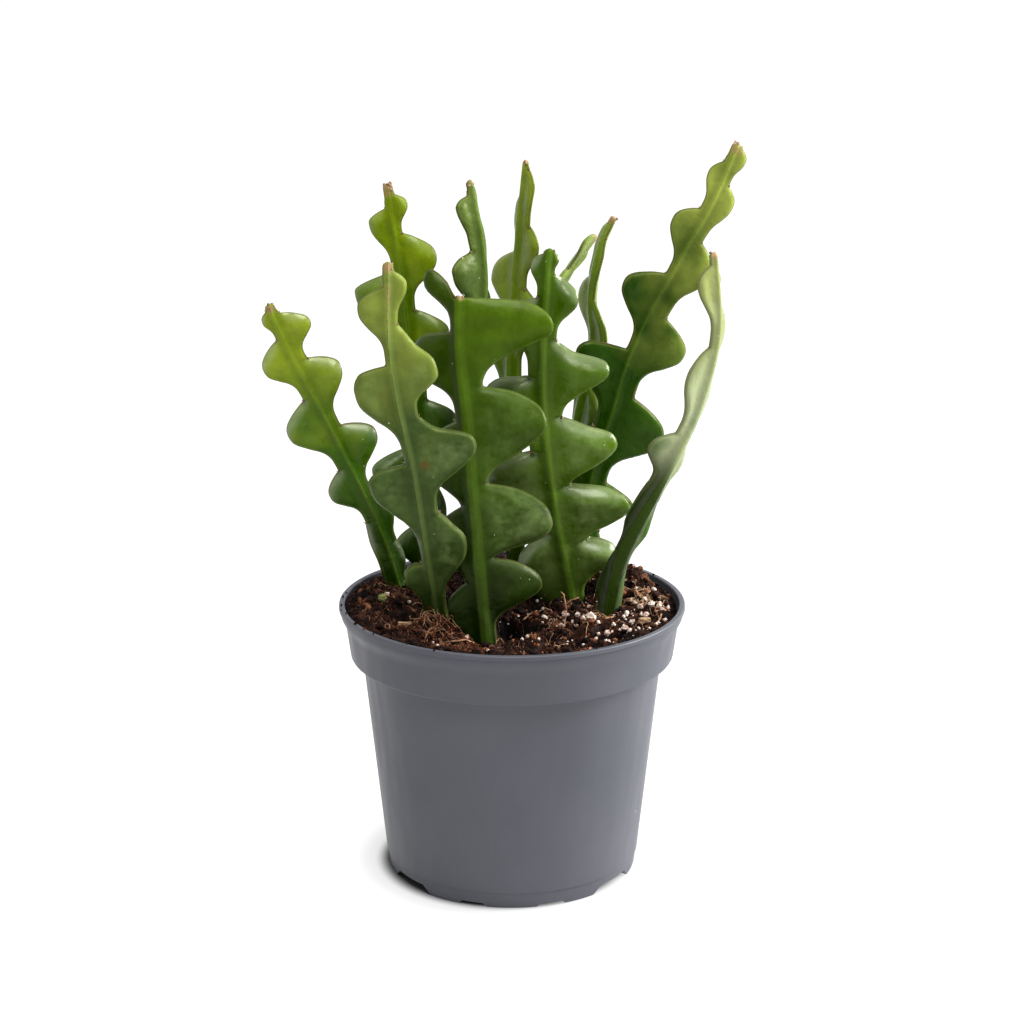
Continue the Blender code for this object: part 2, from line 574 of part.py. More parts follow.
def main():
    for old in list(bpy.data.objects):
        bpy.data.objects.remove(old)
    make_pot()
    stems = {name: Stem(**shape) for name, shape in STEMS.items()}
    green = plain_material("stem_green", (0.10, 0.22, 0.03), 0.35)
    for name, stem in stems.items():
        shade(new_object(name, lofted(name, stem.rings()), green), 50)
    make_mix(stems)
    make_loose_pieces()
    plant = bpy.data.objects.new("plant", None)
    plant.location = Vector(POT_AXIS) * MM
    bpy.context.scene.collection.objects.link(plant)
    for piece in bpy.data.objects:
        if piece is not plant:
            piece.parent = plant


main()
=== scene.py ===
"""A young fishbone cactus in a small plastic nursery pot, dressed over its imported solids.

Lengths are in millimetres from the pot's own axis unless a line says otherwise, +Z is up and the
front faces -Y.  The sections follow the plant as a grower puts it together.
"""

import math
import random

import bmesh
import bpy
import numpy as np
from mathutils import Matrix, Vector
from mathutils.noise import fractal, noise


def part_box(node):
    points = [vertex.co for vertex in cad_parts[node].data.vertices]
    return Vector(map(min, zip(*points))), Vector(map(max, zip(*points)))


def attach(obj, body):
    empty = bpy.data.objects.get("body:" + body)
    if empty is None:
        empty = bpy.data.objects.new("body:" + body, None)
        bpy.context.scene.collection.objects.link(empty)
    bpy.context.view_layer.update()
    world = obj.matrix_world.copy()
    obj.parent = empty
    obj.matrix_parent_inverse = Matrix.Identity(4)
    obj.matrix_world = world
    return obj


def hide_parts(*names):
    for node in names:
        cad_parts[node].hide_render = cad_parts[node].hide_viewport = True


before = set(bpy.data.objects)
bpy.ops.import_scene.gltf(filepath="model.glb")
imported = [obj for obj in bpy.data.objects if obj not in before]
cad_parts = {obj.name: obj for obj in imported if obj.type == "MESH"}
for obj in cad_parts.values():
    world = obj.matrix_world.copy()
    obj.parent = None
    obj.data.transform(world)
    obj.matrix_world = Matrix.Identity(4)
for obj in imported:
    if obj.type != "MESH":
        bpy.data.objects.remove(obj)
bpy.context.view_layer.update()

# ---- Nursery pot ----
# One thin injection moulding in grey polypropylene: a tapered body, a wider band that lets stacked
# pots part, a rolled lip, and a floor with drain holes that stands on a ring with cut-outs.
MM = 0.001
AXIS_X = 1.5  # the pot's axis in the part's frame
FOOT_RADIUS, FOOT_WIDTH, FOOT_FLARE = 21.85, 1.3, 0.3  # it flares up to the ledge
FOOT_LEDGE, LEDGE_STEP = 3.0, 0.15  # height of the fine step above the foot, and how far it stands out
BODY_TOP_RADIUS, SHOULDER = 26.05, 38.7  # where the body meets the flat step under the band
BAND_RADIUS, BAND_HEIGHT = (28.1, 28.8), (39.0, 44.3)  # the band's lower edge, and where it starts to flare
RIM_RADIUS, RIM_TOP = 30.0, 48.2
LIP_WIDTH, LIP_HEIGHT, LIP_ROUNDING = 1.0, 0.8, 0.25
WALL = 0.9
FLOOR_UNDER, FLOOR_TOP = 2.4, 3.4
DRAIN_RADIUS, DRAIN_RING, DRAIN_COUNT, DRAIN_SIDES = 2.3, 13.5, 6, 32  # the ring is round a middle hole
NOTCH_STEP = 36
WIDE_NOTCH, SLIM_NOTCH = (10.7, 7.2, 1.6), (5.4, 3.7, 0.75)  # width below and above, and height
WIDE_NOTCHES_AT = (54, 126, 234, 306)
NOTCH_REACH = (1.7, -2.7)  # how far a notch's cutter reaches out of the foot ring, and into it
POT_SEGMENTS = 180
SEGMENT_SHIFT = 0.37  # of a segment, so that no row of the wall's points runs along a cutter's face


def srgb(red, green, blue):
    """A linear colour from the 0 to 255 values that a screen shows."""
    values = (red / 255, green / 255, blue / 255)
    return tuple(((c + 0.055) / 1.055) ** 2.4 if c > 0.04 else c / 12.92 for c in values)


def lerp(pair, share):
    return pair[0] + (pair[1] - pair[0]) * share


def mesh_object(name, points, faces, material):
    """A smooth piece from points in millimetres from the pot's axis."""
    mesh = bpy.data.meshes.new(name)
    placed = (np.asarray(points, float) + (AXIS_X, 0, 0)) * MM
    mesh.from_pydata(placed.tolist(), [], faces)
    mesh.materials.append(material)
    mesh.shade_smooth()
    made = bpy.data.objects.new(name, mesh)
    bpy.context.scene.collection.objects.link(made)
    return made


def face_out(piece):
    """Turns every face of a closed mesh outwards."""
    bm = bmesh.new()
    bm.from_mesh(piece.data)
    bmesh.ops.recalc_face_normals(bm, faces=bm.faces)
    bm.to_mesh(piece.data)
    bm.free()


def tube_faces(count, size, loop=False):
    """Faces between a row of rings; the ends are capped unless the rings form a loop."""
    faces = []
    for i in range(count if loop else count - 1):
        a, b = i * size, (i + 1) % count * size
        for j in range(size):
            k = (j + 1) % size
            faces.append((a + j, a + k, b + k, b + j))
    if not loop:
        faces += [tuple(range(size - 1, -1, -1)), tuple(range((count - 1) * size, count * size))]
    return faces


class Field:
    """A number or a colour that varies over a surface, as an output of one of its shader nodes.

    Fields are added, subtracted and multiplied with each other and with plain numbers.
    """

    def __init__(self, tree, socket):
        self.tree = tree
        self.socket = socket

    def __add__(self, other):
        return self.calc("ADD", other)

    def __sub__(self, other):
        return self.calc("SUBTRACT", other)

    def __mul__(self, other):
        return self.calc("MULTIPLY", other)

    def calc(self, operation, other=0.0, **settings):
        return put(self.tree, "Math", {0: self, 1: other}, operation=operation, **settings)

    def span(self, low, high, to_low=0.0, to_high=1.0):
        """This field read between two limits as a share, smoothly."""
        inputs = {"Value": self, "From Min": low, "From Max": high, "To Min": to_low, "To Max": to_high}
        return put(self.tree, "MapRange", inputs, interpolation_type="SMOOTHSTEP")

    def bump(self, strength, distance):
        """Normals that show this field as a relief, with its depth in metres."""
        return put(self.tree, "Bump", {"Strength": strength, "Distance": distance, "Height": self})

    def beside(self, output):
        """Another output of the same node."""
        return Field(self.tree, self.socket.node.outputs[output])


def put(tree, kind, inputs, output=0, **settings):
    """Adds a shader node, sets its properties and its inputs, and returns one of its outputs."""
    made = tree.nodes.new("ShaderNode" + kind)
    for key, value in settings.items():
        setattr(made, key, value)
    connect(made, inputs)
    return Field(tree, made.outputs[output])


def connect(made, inputs):
    """Links each named input of a node to a field, or sets it to a plain value."""
    for key, value in inputs.items():
        if isinstance(value, Field):
            value.tree.links.new(value.socket, made.inputs[key])
        else:
            made.inputs[key].default_value = value


def new_material(name):
    """An empty Principled material, its tree and its shader."""
    material = bpy.data.materials.new(name)
    material.use_nodes = True
    return material, material.node_tree, material.node_tree.nodes["Principled BSDF"]


def blend(share, first, second):
    """Mixes two colours, each a plain tuple or a field."""
    first, second = (c if isinstance(c, Field) else (*c, 1) for c in (first, second))
    return put(share.tree, "Mix", {0: share, 6: first, 7: second}, 2, data_type="RGBA")


def texture(tree, scale, detail, stretch=None):
    """Noise that is fixed to the piece, and may be drawn out along the piece's own axes."""
    where = put(tree, "TexCoord", {}, "Object")
    if stretch:
        where = put(tree, "Mapping", {"Vector": where, "Scale": stretch})
    return put(tree, "TexNoise", {"Vector": where, "Scale": scale, "Detail": detail})


def new_group(name, **inputs):
    """A node group with named number inputs, their fields in it, and a mask to put out."""
    group = bpy.data.node_groups.new(name, "ShaderNodeTree")
    for key, value in inputs.items():
        group.interface.new_socket(key, in_out="INPUT", socket_type="NodeSocketFloat").default_value = value
    group.interface.new_socket("Mask", in_out="OUTPUT", socket_type="NodeSocketFloat")
    given = group.nodes.new("NodeGroupInput").outputs
    return (group, *(Field(group, given[key]) for key in inputs))


def mask(tree, group, **values):
    """The mask of a group that is placed in a material with its own values."""
    return put(tree, "Group", values, "Mask", node_tree=group)


# Soft patches of any size, as on skin, plastic and peat.
mottle, scale, detail, low, high = new_group("soft_patches", Scale=200, Detail=3, Low=0.35, High=0.65)
patches = texture(mottle, scale, detail).span(low, high)
connect(mottle.nodes.new("NodeGroupOutput"), {"Mask": patches})

# Scattered round specks, such as dust, mineral spots and pores.
specks, scale, share, size = new_group("fine_specks", Scale=900, Share=0.1, Size=0.3)
where = put(specks, "TexCoord", {}, "Object")
distance = put(specks, "TexVoronoi", {"Vector": where, "Scale": scale}, "Distance")
chosen = put(specks, "SeparateColor", {"Color": distance.beside("Color")}).calc("LESS_THAN", share)
connect(specks.nodes.new("NodeGroupOutput"), {"Mask": chosen * distance.span(size, size * 0.5)})


def wall_radius(height):
    """Outer radius of the pot's wall at a height."""
    heights = (FOOT_LEDGE, SHOULDER, SHOULDER + 0.1, *BAND_HEIGHT)
    radii = (FOOT_RADIUS + FOOT_FLARE + LEDGE_STEP, BODY_TOP_RADIUS, BODY_TOP_RADIUS, *BAND_RADIUS)
    return float(np.interp(height, heights, radii))


lip_bends = (  # the middle of each rounding of the lip, and the angles of its points
    (RIM_RADIUS - LIP_ROUNDING, (0, 22, 45, 68, 90)),
    (RIM_RADIUS - LIP_WIDTH + LIP_ROUNDING, (90, 112, 135, 158, 180)),
)
lip = [(middle + LIP_ROUNDING * math.cos(a), RIM_TOP - LIP_ROUNDING * (1 - math.sin(a)))
       for middle, turns in lip_bends for a in np.radians(turns)]
outer_corners = (  # radius and height of each corner, and the points that soften it, from there
    (FOOT_RADIUS, 0, [(-FOOT_WIDTH, 0), (-0.35, 0), (-0.1, 0.12), (0, 0.5)]),
    (FOOT_RADIUS + FOOT_FLARE, FOOT_LEDGE, [(-0.03, -0.25), (-0.01, -0.08)]),
    (wall_radius(FOOT_LEDGE), FOOT_LEDGE, [(0, 0), (0.02, 0.2)]),
    (lerp((wall_radius(FOOT_LEDGE), BODY_TOP_RADIUS), 0.5), lerp((FOOT_LEDGE, SHOULDER), 0.5), [(0, 0)]),
    (BODY_TOP_RADIUS, SHOULDER, [(-0.02, -0.2), (0.04, -0.02), (0.2, 0.03)]),
    (BAND_RADIUS[0], BAND_HEIGHT[0], [(-0.32, -0.04), (-0.1, 0.05), (0, 0.22), (0.04, 0.5)]),
    (BAND_RADIUS[1], BAND_HEIGHT[1], [
        (-0.02, -0.2), (0.1, 0.4), (0.35, 1), (0.6, 1.5), (0.8, 1.9), (0.9, 2.3), (0.95, 2.72)]),
    (RIM_RADIUS, RIM_TOP - LIP_HEIGHT, [
        (-0.22, -0.06), (-0.04, 0), (0.03, 0.08), (0.02, 0.2), (-0.02, 0.32)]),
    (RIM_RADIUS, RIM_TOP - LIP_ROUNDING, [(-0.01, -0.1)]),
)
inside = [
    (RIM_RADIUS - LIP_WIDTH, RIM_TOP - LIP_HEIGHT), (BAND_RADIUS[1] - WALL + 0.2, BAND_HEIGHT[1] + 0.4),
    (BAND_RADIUS[0] - WALL, BAND_HEIGHT[0] + WALL), (BODY_TOP_RADIUS - WALL, SHOULDER + WALL),
    (wall_radius(FLOOR_TOP) - WALL, FLOOR_TOP + 0.8), (wall_radius(FLOOR_TOP) - WALL - 0.8, FLOOR_TOP),
    (DRAIN_RADIUS, FLOOR_TOP), (DRAIN_RADIUS, FLOOR_UNDER), (FOOT_RADIUS - FOOT_WIDTH, FLOOR_UNDER),
]
outside = [(radius + out, height + up) for radius, height, bends in outer_corners for out, up in bends]
profile = outside + lip + inside

pot_plastic, tree, shader = new_material("grey_polypropylene")
streaks = texture(tree, 420, 4, stretch=(1, 1, 0.12))
colour = blend(mask(tree, mottle, Scale=60, Detail=4, Low=0.3, High=0.7), srgb(74, 76, 84), srgb(81, 82, 91))
colour = blend(streaks.span(0.5, 0.72, 0, 0.1), colour, srgb(98, 100, 107))
white_dust = mask(tree, specks, Scale=260, Share=0.05, Size=0.07)
peat_dust = mask(tree, specks, Scale=330, Share=0.04, Size=0.09)
colour = blend(white_dust * 0.6, colour, srgb(190, 188, 186))
colour = blend(peat_dust * 0.5, colour, srgb(120, 96, 88))
connect(shader, {"Base Color": colour, "Roughness": streaks.span(0.3, 0.7, 0.4, 0.5), "IOR": 1.49,
                 "Normal": texture(tree, 2600, 2).bump(0.12, 0.0001)})

rings = [(r * math.cos(a), r * math.sin(a), z)
         for a in (np.arange(POT_SEGMENTS) + SEGMENT_SHIFT) * math.tau / POT_SEGMENTS for r, z in profile]
pot = mesh_object("nursery_pot", rings, tube_faces(POT_SEGMENTS, len(profile), loop=True), pot_plastic)
face_out(pot)
cutters = []
for angle in range(NOTCH_STEP // 2, 360, NOTCH_STEP):
    low_width, high_width, height = WIDE_NOTCH if angle in WIDE_NOTCHES_AT else SLIM_NOTCH
    ends = ((-height, low_width - high_width / 2), (height, high_width / 2))
    outer, inner = (-FOOT_RADIUS - reach for reach in NOTCH_REACH)
    corners = [(x * half, y, z)
               for z, half in ends for x, y in ((-1, outer), (1, outer), (1, inner), (-1, inner))]
    turn = Matrix.Rotation(math.radians(angle), 3, "Z")
    cutters.append(mesh_object("cutter", [turn @ Vector(c) for c in corners], tube_faces(2, 4), pot_plastic))
for angle in np.arange(DRAIN_COUNT) * math.tau / DRAIN_COUNT:
    middle = Vector((math.sin(angle) * DRAIN_RING, -math.cos(angle) * DRAIN_RING))
    turns = np.arange(DRAIN_SIDES) * math.tau / DRAIN_SIDES
    circle = [middle + Vector((math.cos(a), math.sin(a))) * DRAIN_RADIUS for a in turns]
    ends = [(*p, z) for z in (FLOOR_UNDER - 1, FLOOR_TOP + 1) for p in circle]
    cutters.append(mesh_object("cutter", ends, tube_faces(2, DRAIN_SIDES), pot_plastic))
for cutter in cutters:
    face_out(cutter)
    hole = pot.modifiers.new("hole", "BOOLEAN")
    hole.operation = "DIFFERENCE"
    hole.object = cutter
cut_mesh = bpy.data.meshes.new_from_object(pot.evaluated_get(bpy.context.evaluated_depsgraph_get()))
pot.modifiers.clear()
pot.data = cut_mesh
for cutter in cutters:
    bpy.data.objects.remove(cutter)
pot.data.shade_smooth()
pot.data.set_sharp_from_angle(angle=math.radians(50))
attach(pot, "root")
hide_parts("pot")

# ---- Potting mix ----
# Sphagnum peat pressed round the stems by hand: a dark crumbly plug with an uneven top, loose
# crumbs, torn moss fibres and fine perlite, deepest red where it has dried.
MIX_LEVEL = 46.3
MIX_GAP = 0.35  # between the plug and the pot below the surface
MIX_RINGS, MIX_SPOKES = 130, 400
MOUNDS = (  # x, y, rise and spread
    (19, 11, 4.4, 8), (10, 2, -1.4, 5), (18, -6, 1.2, 5), (-14, -8, 1.6, 5), (-22, 8, 1.4, 6),
    (-27, -3, 2, 6), (0, 17, 1.8, 8), (-4, -15, -1.4, 5), (8, -19, -1.6, 5),
)
HEAPS = (  # crumbs piled at some of the feet, and one hollow, as the mounds
    (-13.2, -13, 1.3, 2.2), (14, -9.5, 0.9, 2.5), (4.8, -4.5, 0.9, 2.4), (-19, 3, 0.8, 3),
    (0, -8.5, -2.4, 2.2),
)
# A hollow in front of the middle; the tint follows it, so the peat there is darker as painted shade.
PIT_WITH_PAINTED_SHADE = (0, -8.5, -1.2, 2)  # in that hollow, where the peat is darker too
FIBRE_REACH = 27  # how far out from the axis fibres and perlite start
dice = random.Random(11)


def heaped(x, y, mounds):
    """How far some mounds and hollows lift the surface at a spot."""
    return sum(rise * math.exp(-((x - mx) ** 2 + (y - my) ** 2) / (2 * spread * spread))
               for mx, my, rise, spread in mounds)


def mix_height(x, y):
    """Height of the surface: its level, its mounds and hollows, and small unevenness."""
    calm = min(1, max(0.1, (29 - math.hypot(x, y)) / 5))
    uneven = 0.9 * noise(Vector((x, y, 3)) * 0.22)
    return MIX_LEVEL + calm * (heaped(x, y, MOUNDS) + uneven) + 0.35 * noise(Vector((x, y, 9)) * 0.5)


def relief_at(x, y):
    """The clods and crumbs over the smooth surface."""
    clods = fractal(Vector((x, y, 21)) * 0.6, 0.8, 2.1, 5)
    crumbs = 0.4 * noise(Vector((x, y, 40)) * 2.4)
    return 0.75 * clods - 0.35 * abs(clods) + crumbs + heaped(x, y, [PIT_WITH_PAINTED_SHADE])


def crumbled_height(x, y):
    """The surface with its clods and crumbs, heaped at some feet and banked against the wall."""
    near_wall = min(1, max(0, (math.hypot(x, y) - 21) / 5))
    banked = 0.9 - 0.55 * math.cos(math.atan2(y, x) - math.radians(30))
    return mix_height(x, y) + near_wall * banked + heaped(x, y, HEAPS) + relief_at(x, y)


def record_attribute(piece, name, values):
    """Stores one number per point for the piece's material to read."""
    attribute = piece.data.attributes.new(name, "FLOAT", "POINT")
    attribute.data.foreach_set("value", np.asarray(values, np.float32))


def colour_ramp(share, stops):
    """Turns a share into a colour that runs through three stops, each a (share, colour)."""
    colour = put(share.tree, "ValToRGB", {"Fac": share})
    ramp = colour.socket.node.color_ramp
    ramp.elements.new(0.5)
    for element, (place, shade) in zip(ramp.elements, stops):
        element.position = place
        element.color = (*shade, 1)
    return colour


def peat_material(name, dark, brown, dry):
    """Peat that turns from near black to dry red brown by the "tint" of each crumb or fibre."""
    material, tree, shader = new_material(name)
    tint = put(tree, "Attribute", {}, "Fac", attribute_name="tint")
    damp = mask(tree, mottle, Scale=260, Detail=5, Low=0.36, High=0.66)
    fine = mask(tree, mottle, Scale=1500, Detail=6, Low=0.3, High=0.7)
    dryness = tint - 0.3 + fine * 0.35 + damp * 0.35
    colour = colour_ramp(dryness, [(0, srgb(*dark)), (0.45, srgb(*brown)), (1, srgb(*dry))])
    connect(shader, {"Base Color": colour, "Roughness": damp.span(0, 1, 0.9, 0.6),
                     "Normal": texture(tree, 1900, 8).bump(0.9, 0.0004), "Specular IOR Level": 0.08})
    return material


peat = peat_material("damp_peat", (7, 4, 3), (48, 26, 17), (146, 92, 62))
inner = WALL + MIX_GAP
sides = [(wall_radius(FLOOR_TOP) - inner - 1.3, FLOOR_TOP + MIX_GAP),
         (wall_radius(FLOOR_TOP) - inner - 0.2, FLOOR_TOP + 1.6),
         (BODY_TOP_RADIUS - inner - 0.1, SHOULDER + inner + 0.1),
         (BAND_RADIUS[0] - inner - 0.3, BAND_HEIGHT[0] + inner + 0.1),
         (BAND_RADIUS[1] - WALL - 0.1, BAND_HEIGHT[1] + 0.3)]
spokes = np.arange(MIX_SPOKES) * math.tau / MIX_SPOKES
points = [(r * math.cos(a), r * math.sin(a), z) for r, z in sides for a in spokes]
top_radii = np.linspace(RIM_RADIUS - LIP_WIDTH - 0.35, 0.05, MIX_RINGS)
for r in top_radii:
    ring = [(r * math.cos(a), r * math.sin(a)) for a in spokes]
    points += [(x, y, crumbled_height(x, y)) for x, y in ring]
mix = mesh_object("potting_mix_plug", points, tube_faces(len(sides) + MIX_RINGS, MIX_SPOKES), peat)
face_out(mix)
# The tint is lighter on the tops, partly as drier peat, and darker in the hollows as painted shade.
dry_tops_and_hollow_shade = [0.16 + 0.2 * noise(Vector(p) * 0.35) + 0.3 * relief_at(p[0], p[1]) for p in points]
record_attribute(mix, "tint", dry_tops_and_hollow_shade)
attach(mix, "root")
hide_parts("potting_mix")


def lump(radius, roughness, detail, seed):
    """Points and faces of an irregular grain."""
    bm = bmesh.new()
    bmesh.ops.create_icosphere(bm, subdivisions=detail, radius=1)
    for v in bm.verts:
        coarse, fine = noise(v.co * 1.3 + Vector((seed, 0, 0))), noise(v.co * 3.1 + Vector((0, seed, 0)))
        v.co *= 1 + roughness * coarse + roughness * 0.6 * fine
    points = np.array([v.co for v in bm.verts]) * radius
    faces = [tuple(v.index for v in f.verts) for f in bm.faces]
    bm.free()
    return points, faces


def gather(name, parts, material, tints=None):
    """Joins many (points, faces) parts into one piece, with a tint for each part."""
    points, faces, tint, start = [], [], [], 0
    for number, (spots, corners) in enumerate(parts):
        points.append(spots)
        faces += [tuple(start + i for i in face) for face in corners]
        tint += [tints[number] if tints else 0.5] * len(spots)
        start += len(spots)
    made = mesh_object(name, np.vstack(points), faces, material)
    record_attribute(made, "tint", tint)
    return made


def turned_at_random(points, spread=1.0):
    axis = Vector((dice.gauss(0, spread), dice.gauss(0, spread), 1)).normalized()
    turn = Matrix.Rotation(dice.uniform(0, math.tau), 3, axis)
    return points @ np.array(turn).T


def spot_on_mix(reach):
    """A random spot inside the pot."""
    r, a = reach * math.sqrt(dice.random()), dice.uniform(0, math.tau)
    return r * math.cos(a), r * math.sin(a)


def on_mix(spots, x, y, rise):
    """The points of a grain, moved to a spot of the mix."""
    return spots + (x, y, crumbled_height(x, y) + rise)


# Loose crumbs of peat, one large clod on the left, and a few crumbs left on the pot's lip.
CRUMBS, COARSE_CRUMBS, CRUMB_REACH = 4400, 900, 28.4
CLOD_RADIUS, CLOD_AT = 1.9, (-18.2, -8.3)
LIP_CRUMBS_AT = (186, 193, 197, 208, 214, 221, 171, 176, 232, 246, 28, 297)
shapes = [lump(1, 0.45, 2, seed * 7.3) for seed in range(9)]
flakes = [lump(1, 0.6, 1, seed * 3.9) for seed in range(9)]
parts, tints = [], []
for number in range(CRUMBS):
    x, y = spot_on_mix(CRUMB_REACH)
    small = number > COARSE_CRUMBS
    size = (0.1 if small else 0.2) + (0.3 if small else 0.75) * dice.random() ** 3
    spots, faces = dice.choice(flakes if small else shapes)
    spots = turned_at_random(spots * np.array((1, dice.uniform(0.6, 1), dice.uniform(0.4, 0.8))) * size)
    parts.append((on_mix(spots, x, y, 0.25 * size), faces))
    tints.append(0.04 + 0.86 * dice.random() ** 2.2)
spots, faces = lump(CLOD_RADIUS, 0.35, 4, 3.1)
parts.append((spots * (1.1, 1, 0.7) + (*CLOD_AT, mix_height(*CLOD_AT) + 0.2), faces))
tints.append(0.12)
for angle in LIP_CRUMBS_AT:
    r, a = dice.uniform(29.2, 29.9), math.radians(angle + dice.uniform(-2, 2))
    spots, faces = dice.choice(flakes)
    spots = turned_at_random(spots * dice.uniform(0.16, 0.34) * (1, 0.8, 0.6))
    parts.append((spots + (r * math.cos(a), r * math.sin(a), RIM_TOP + 0.1), faces))
    tints.append(dice.uniform(0.2, 0.5))
crumbs = gather("peat_crumbs", parts, peat, tints)
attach(crumbs, "root")


def fibre(path, radius, sides=5):
    """A thin tube along a path, with pointed ends."""
    path = [Vector(p) for p in path]
    rings = []
    for i, here in enumerate(path):
        along = (path[min(i + 1, len(path) - 1)] - path[max(i - 1, 0)]).normalized()
        across = along.cross(Vector((0.3, 0.2, 1))).normalized()
        upright = across.cross(along)
        thick = radius * (0.35 if i in (0, len(path) - 1) else 1)
        for k in range(sides):
            a = k * math.tau / sides
            rings.append(here + (across * math.cos(a) + upright * math.sin(a)) * thick)
    return np.array(rings), tube_faces(len(path), sides)


def wandering(x, y, heading, length, lift):
    """A path that wanders over the mix, with its middle off the surface."""
    path = []
    for i in range(FIBRE_STEPS + 1):
        path.append((x, y, crumbled_height(x, y) + 0.08 + lift * math.sin(math.pi * i / FIBRE_STEPS)))
        heading += dice.gauss(0, 0.5)
        x += math.cos(heading) * length / FIBRE_STEPS
        y += math.sin(heading) * length / FIBRE_STEPS
        if math.hypot(x, y) > FIBRE_REACH + 0.5:
            break
    return path


# Torn moss fibres and dead roots.
FIBRE_STEPS = 9
parts, tints = [], []
TANGLES = (  # x, y, spread, number of fibres, least and most tint, and lift
    (0, 0, 16, 330, 0, 0.8, 0.5), (-10, -18.5, 3.5, 90, 0.15, 0.5, 0.9), (-19, -12, 3.5, 60, 0.1, 0.6, 0.6),
    (22, -0.5, 2.4, 80, 0.7, 1.3, 1), (-13, -13.6, 1.7, 90, 0.3, 0.9, 1.5), (11, -8, 4, 70, 0.2, 0.8, 0.9),
    (-22, 3, 3.5, 50, 0.1, 0.7, 0.7), (20, 9, 3.5, 50, 0.2, 0.7, 0.8),
)
for middle_x, middle_y, spread, count, least, most, lift in TANGLES:
    for _ in range(count):
        x, y = dice.gauss(middle_x, spread), dice.gauss(middle_y, spread)
        if math.hypot(x, y) > FIBRE_REACH:
            continue
        length = 1.2 + 5 * dice.random() ** 2
        path = wandering(x, y, dice.uniform(0, math.tau), length, dice.uniform(0, lift))
        if len(path) > 4:
            parts.append(fibre(path, dice.uniform(0.025, 0.07)))
            tints.append(dice.uniform(least, most))
ROOTS = (  # the longer ones, each a path of (x, y, height over the mix)
    ((9.3, -2, 0), (9.2, -2.2, 1.8), (9, -2.3, 3.4), (8.4, -2.2, 4.6)),
    ((9.2, -2.2, 1.7), (10.2, -2.4, 2.3), (11.6, -2.3, 2.6)),
    ((9.3, -2.2, 0.5), (9.3, -4.6, 0.5), (9, -7.5, 0.4), (8.6, -10.5, 0.3)),
    ((5.3, 2, 0.4), (6.5, -0.5, 0.9), (8, -3.2, 0.6), (9.2, -5, 0.2)),
    ((4.4, -2, 1.2), (3, -3.6, 0.9), (1.8, -5.2, 0.3)),
    ((-11.5, -17.8, 0.5), (-9.6, -18.9, 1.1), (-7.6, -17.4, 1), (-5.6, -15.4, 0.4)),
    ((-20.5, 1.5, 0.3), (-21.6, -0.8, 1), (-24.4, -0.6, 0.5)),
    ((14.5, -11, 0.3), (15.8, -9.4, 0.8), (17.6, -8.6, 0.5)),
    ((24.8, -8.5, 0.2), (25.5, -6.6, 1), (25.8, -4.8, 0.4)),
    ((21, 3, 0.3), (23.5, 2, 0.9), (25.6, 0.6, 0.3)),
)
for path in ROOTS:
    bent = [Vector((x, y, mix_height(x, y) + lift)) for x, y, lift in path]
    fine = [np.array(lerp((here, onward), share)) + (dice.gauss(0, 0.07), dice.gauss(0, 0.07), 0)
            for here, onward in zip(bent, bent[1:]) for share in (0, 0.33, 0.67)]
    parts.append(fibre(fine + [bent[-1]], 0.14, 6))
    tints.append(0.85)
moss_fibre = peat_material("moss_fibre", (34, 16, 10), (104, 56, 36), (198, 158, 122))
fibres = gather("peat_fibres", parts, moss_fibre, tints)
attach(fibres, "root")

# Fine perlite, worked into the mix and thickest to the right.
DRIFT_COUNT, STRAY_COUNT = 230, 60
perlite, tree, shader = new_material("chalky_perlite")
pores = mask(tree, specks, Scale=2600, Share=0.5, Size=0.45)
stain = mask(tree, mottle, Scale=700, Detail=4, Low=0.35, High=0.75)
colour = blend(stain, srgb(240, 228, 216), srgb(192, 152, 128))
colour = blend(pores * 0.4, colour, srgb(140, 104, 84))
connect(shader, {"Base Color": colour, "Roughness": 0.85, "Normal": pores.bump(0.7, 0.0001)})
parts = []


def add_grain(x, y, size, squash=(1, 1, 1)):
    """Lays one grain half into the mix."""
    spots, faces = dice.choice(shapes)
    parts.append((on_mix(turned_at_random(spots * size * squash), x, y, 0.5 * size), faces))


while len(parts) < DRIFT_COUNT:
    x, y = dice.gauss(16, 9), dice.gauss(-4, 9)
    if math.hypot(x, y) <= FIBRE_REACH:
        add_grain(x, y, 0.09 + 0.38 * dice.random() ** 2.5, (1, 0.9, 0.8))
PERLITE_SPOTS = (  # x, y, radius
    (-17.8, -1.8, 0.3), (-15.4, 0.2, 0.28), (-13.9, 0.4, 0.25), (-11.1, -6.1, 0.3), (13.5, 0.3, 0.45),
    (10.4, -9, 0.4), (5.6, -6.1, 0.5), (2.7, -10.6, 0.35), (27, -1.8, 0.35), (25.4, -2.5, 0.45),
    (19.8, -14, 0.45), (12, -8.4, 0.45), (14.6, -10.8, 0.4), (26.2, -6.5, 0.4), (21.2, -2.2, 0.4),
    (19.6, -6.6, 0.45), (23.6, 1.8, 0.4), (25, 4.6, 0.35), (17.2, -11.2, 0.35), (-24.8, -2.2, 0.3),
)
for x, y, radius in PERLITE_SPOTS:
    add_grain(x, y, radius)
for _ in range(STRAY_COUNT):
    add_grain(*spot_on_mix(26.5), 0.08 + 0.22 * dice.random() ** 2)
fine_perlite = gather("fine_perlite", parts, perlite)
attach(fine_perlite, "root")

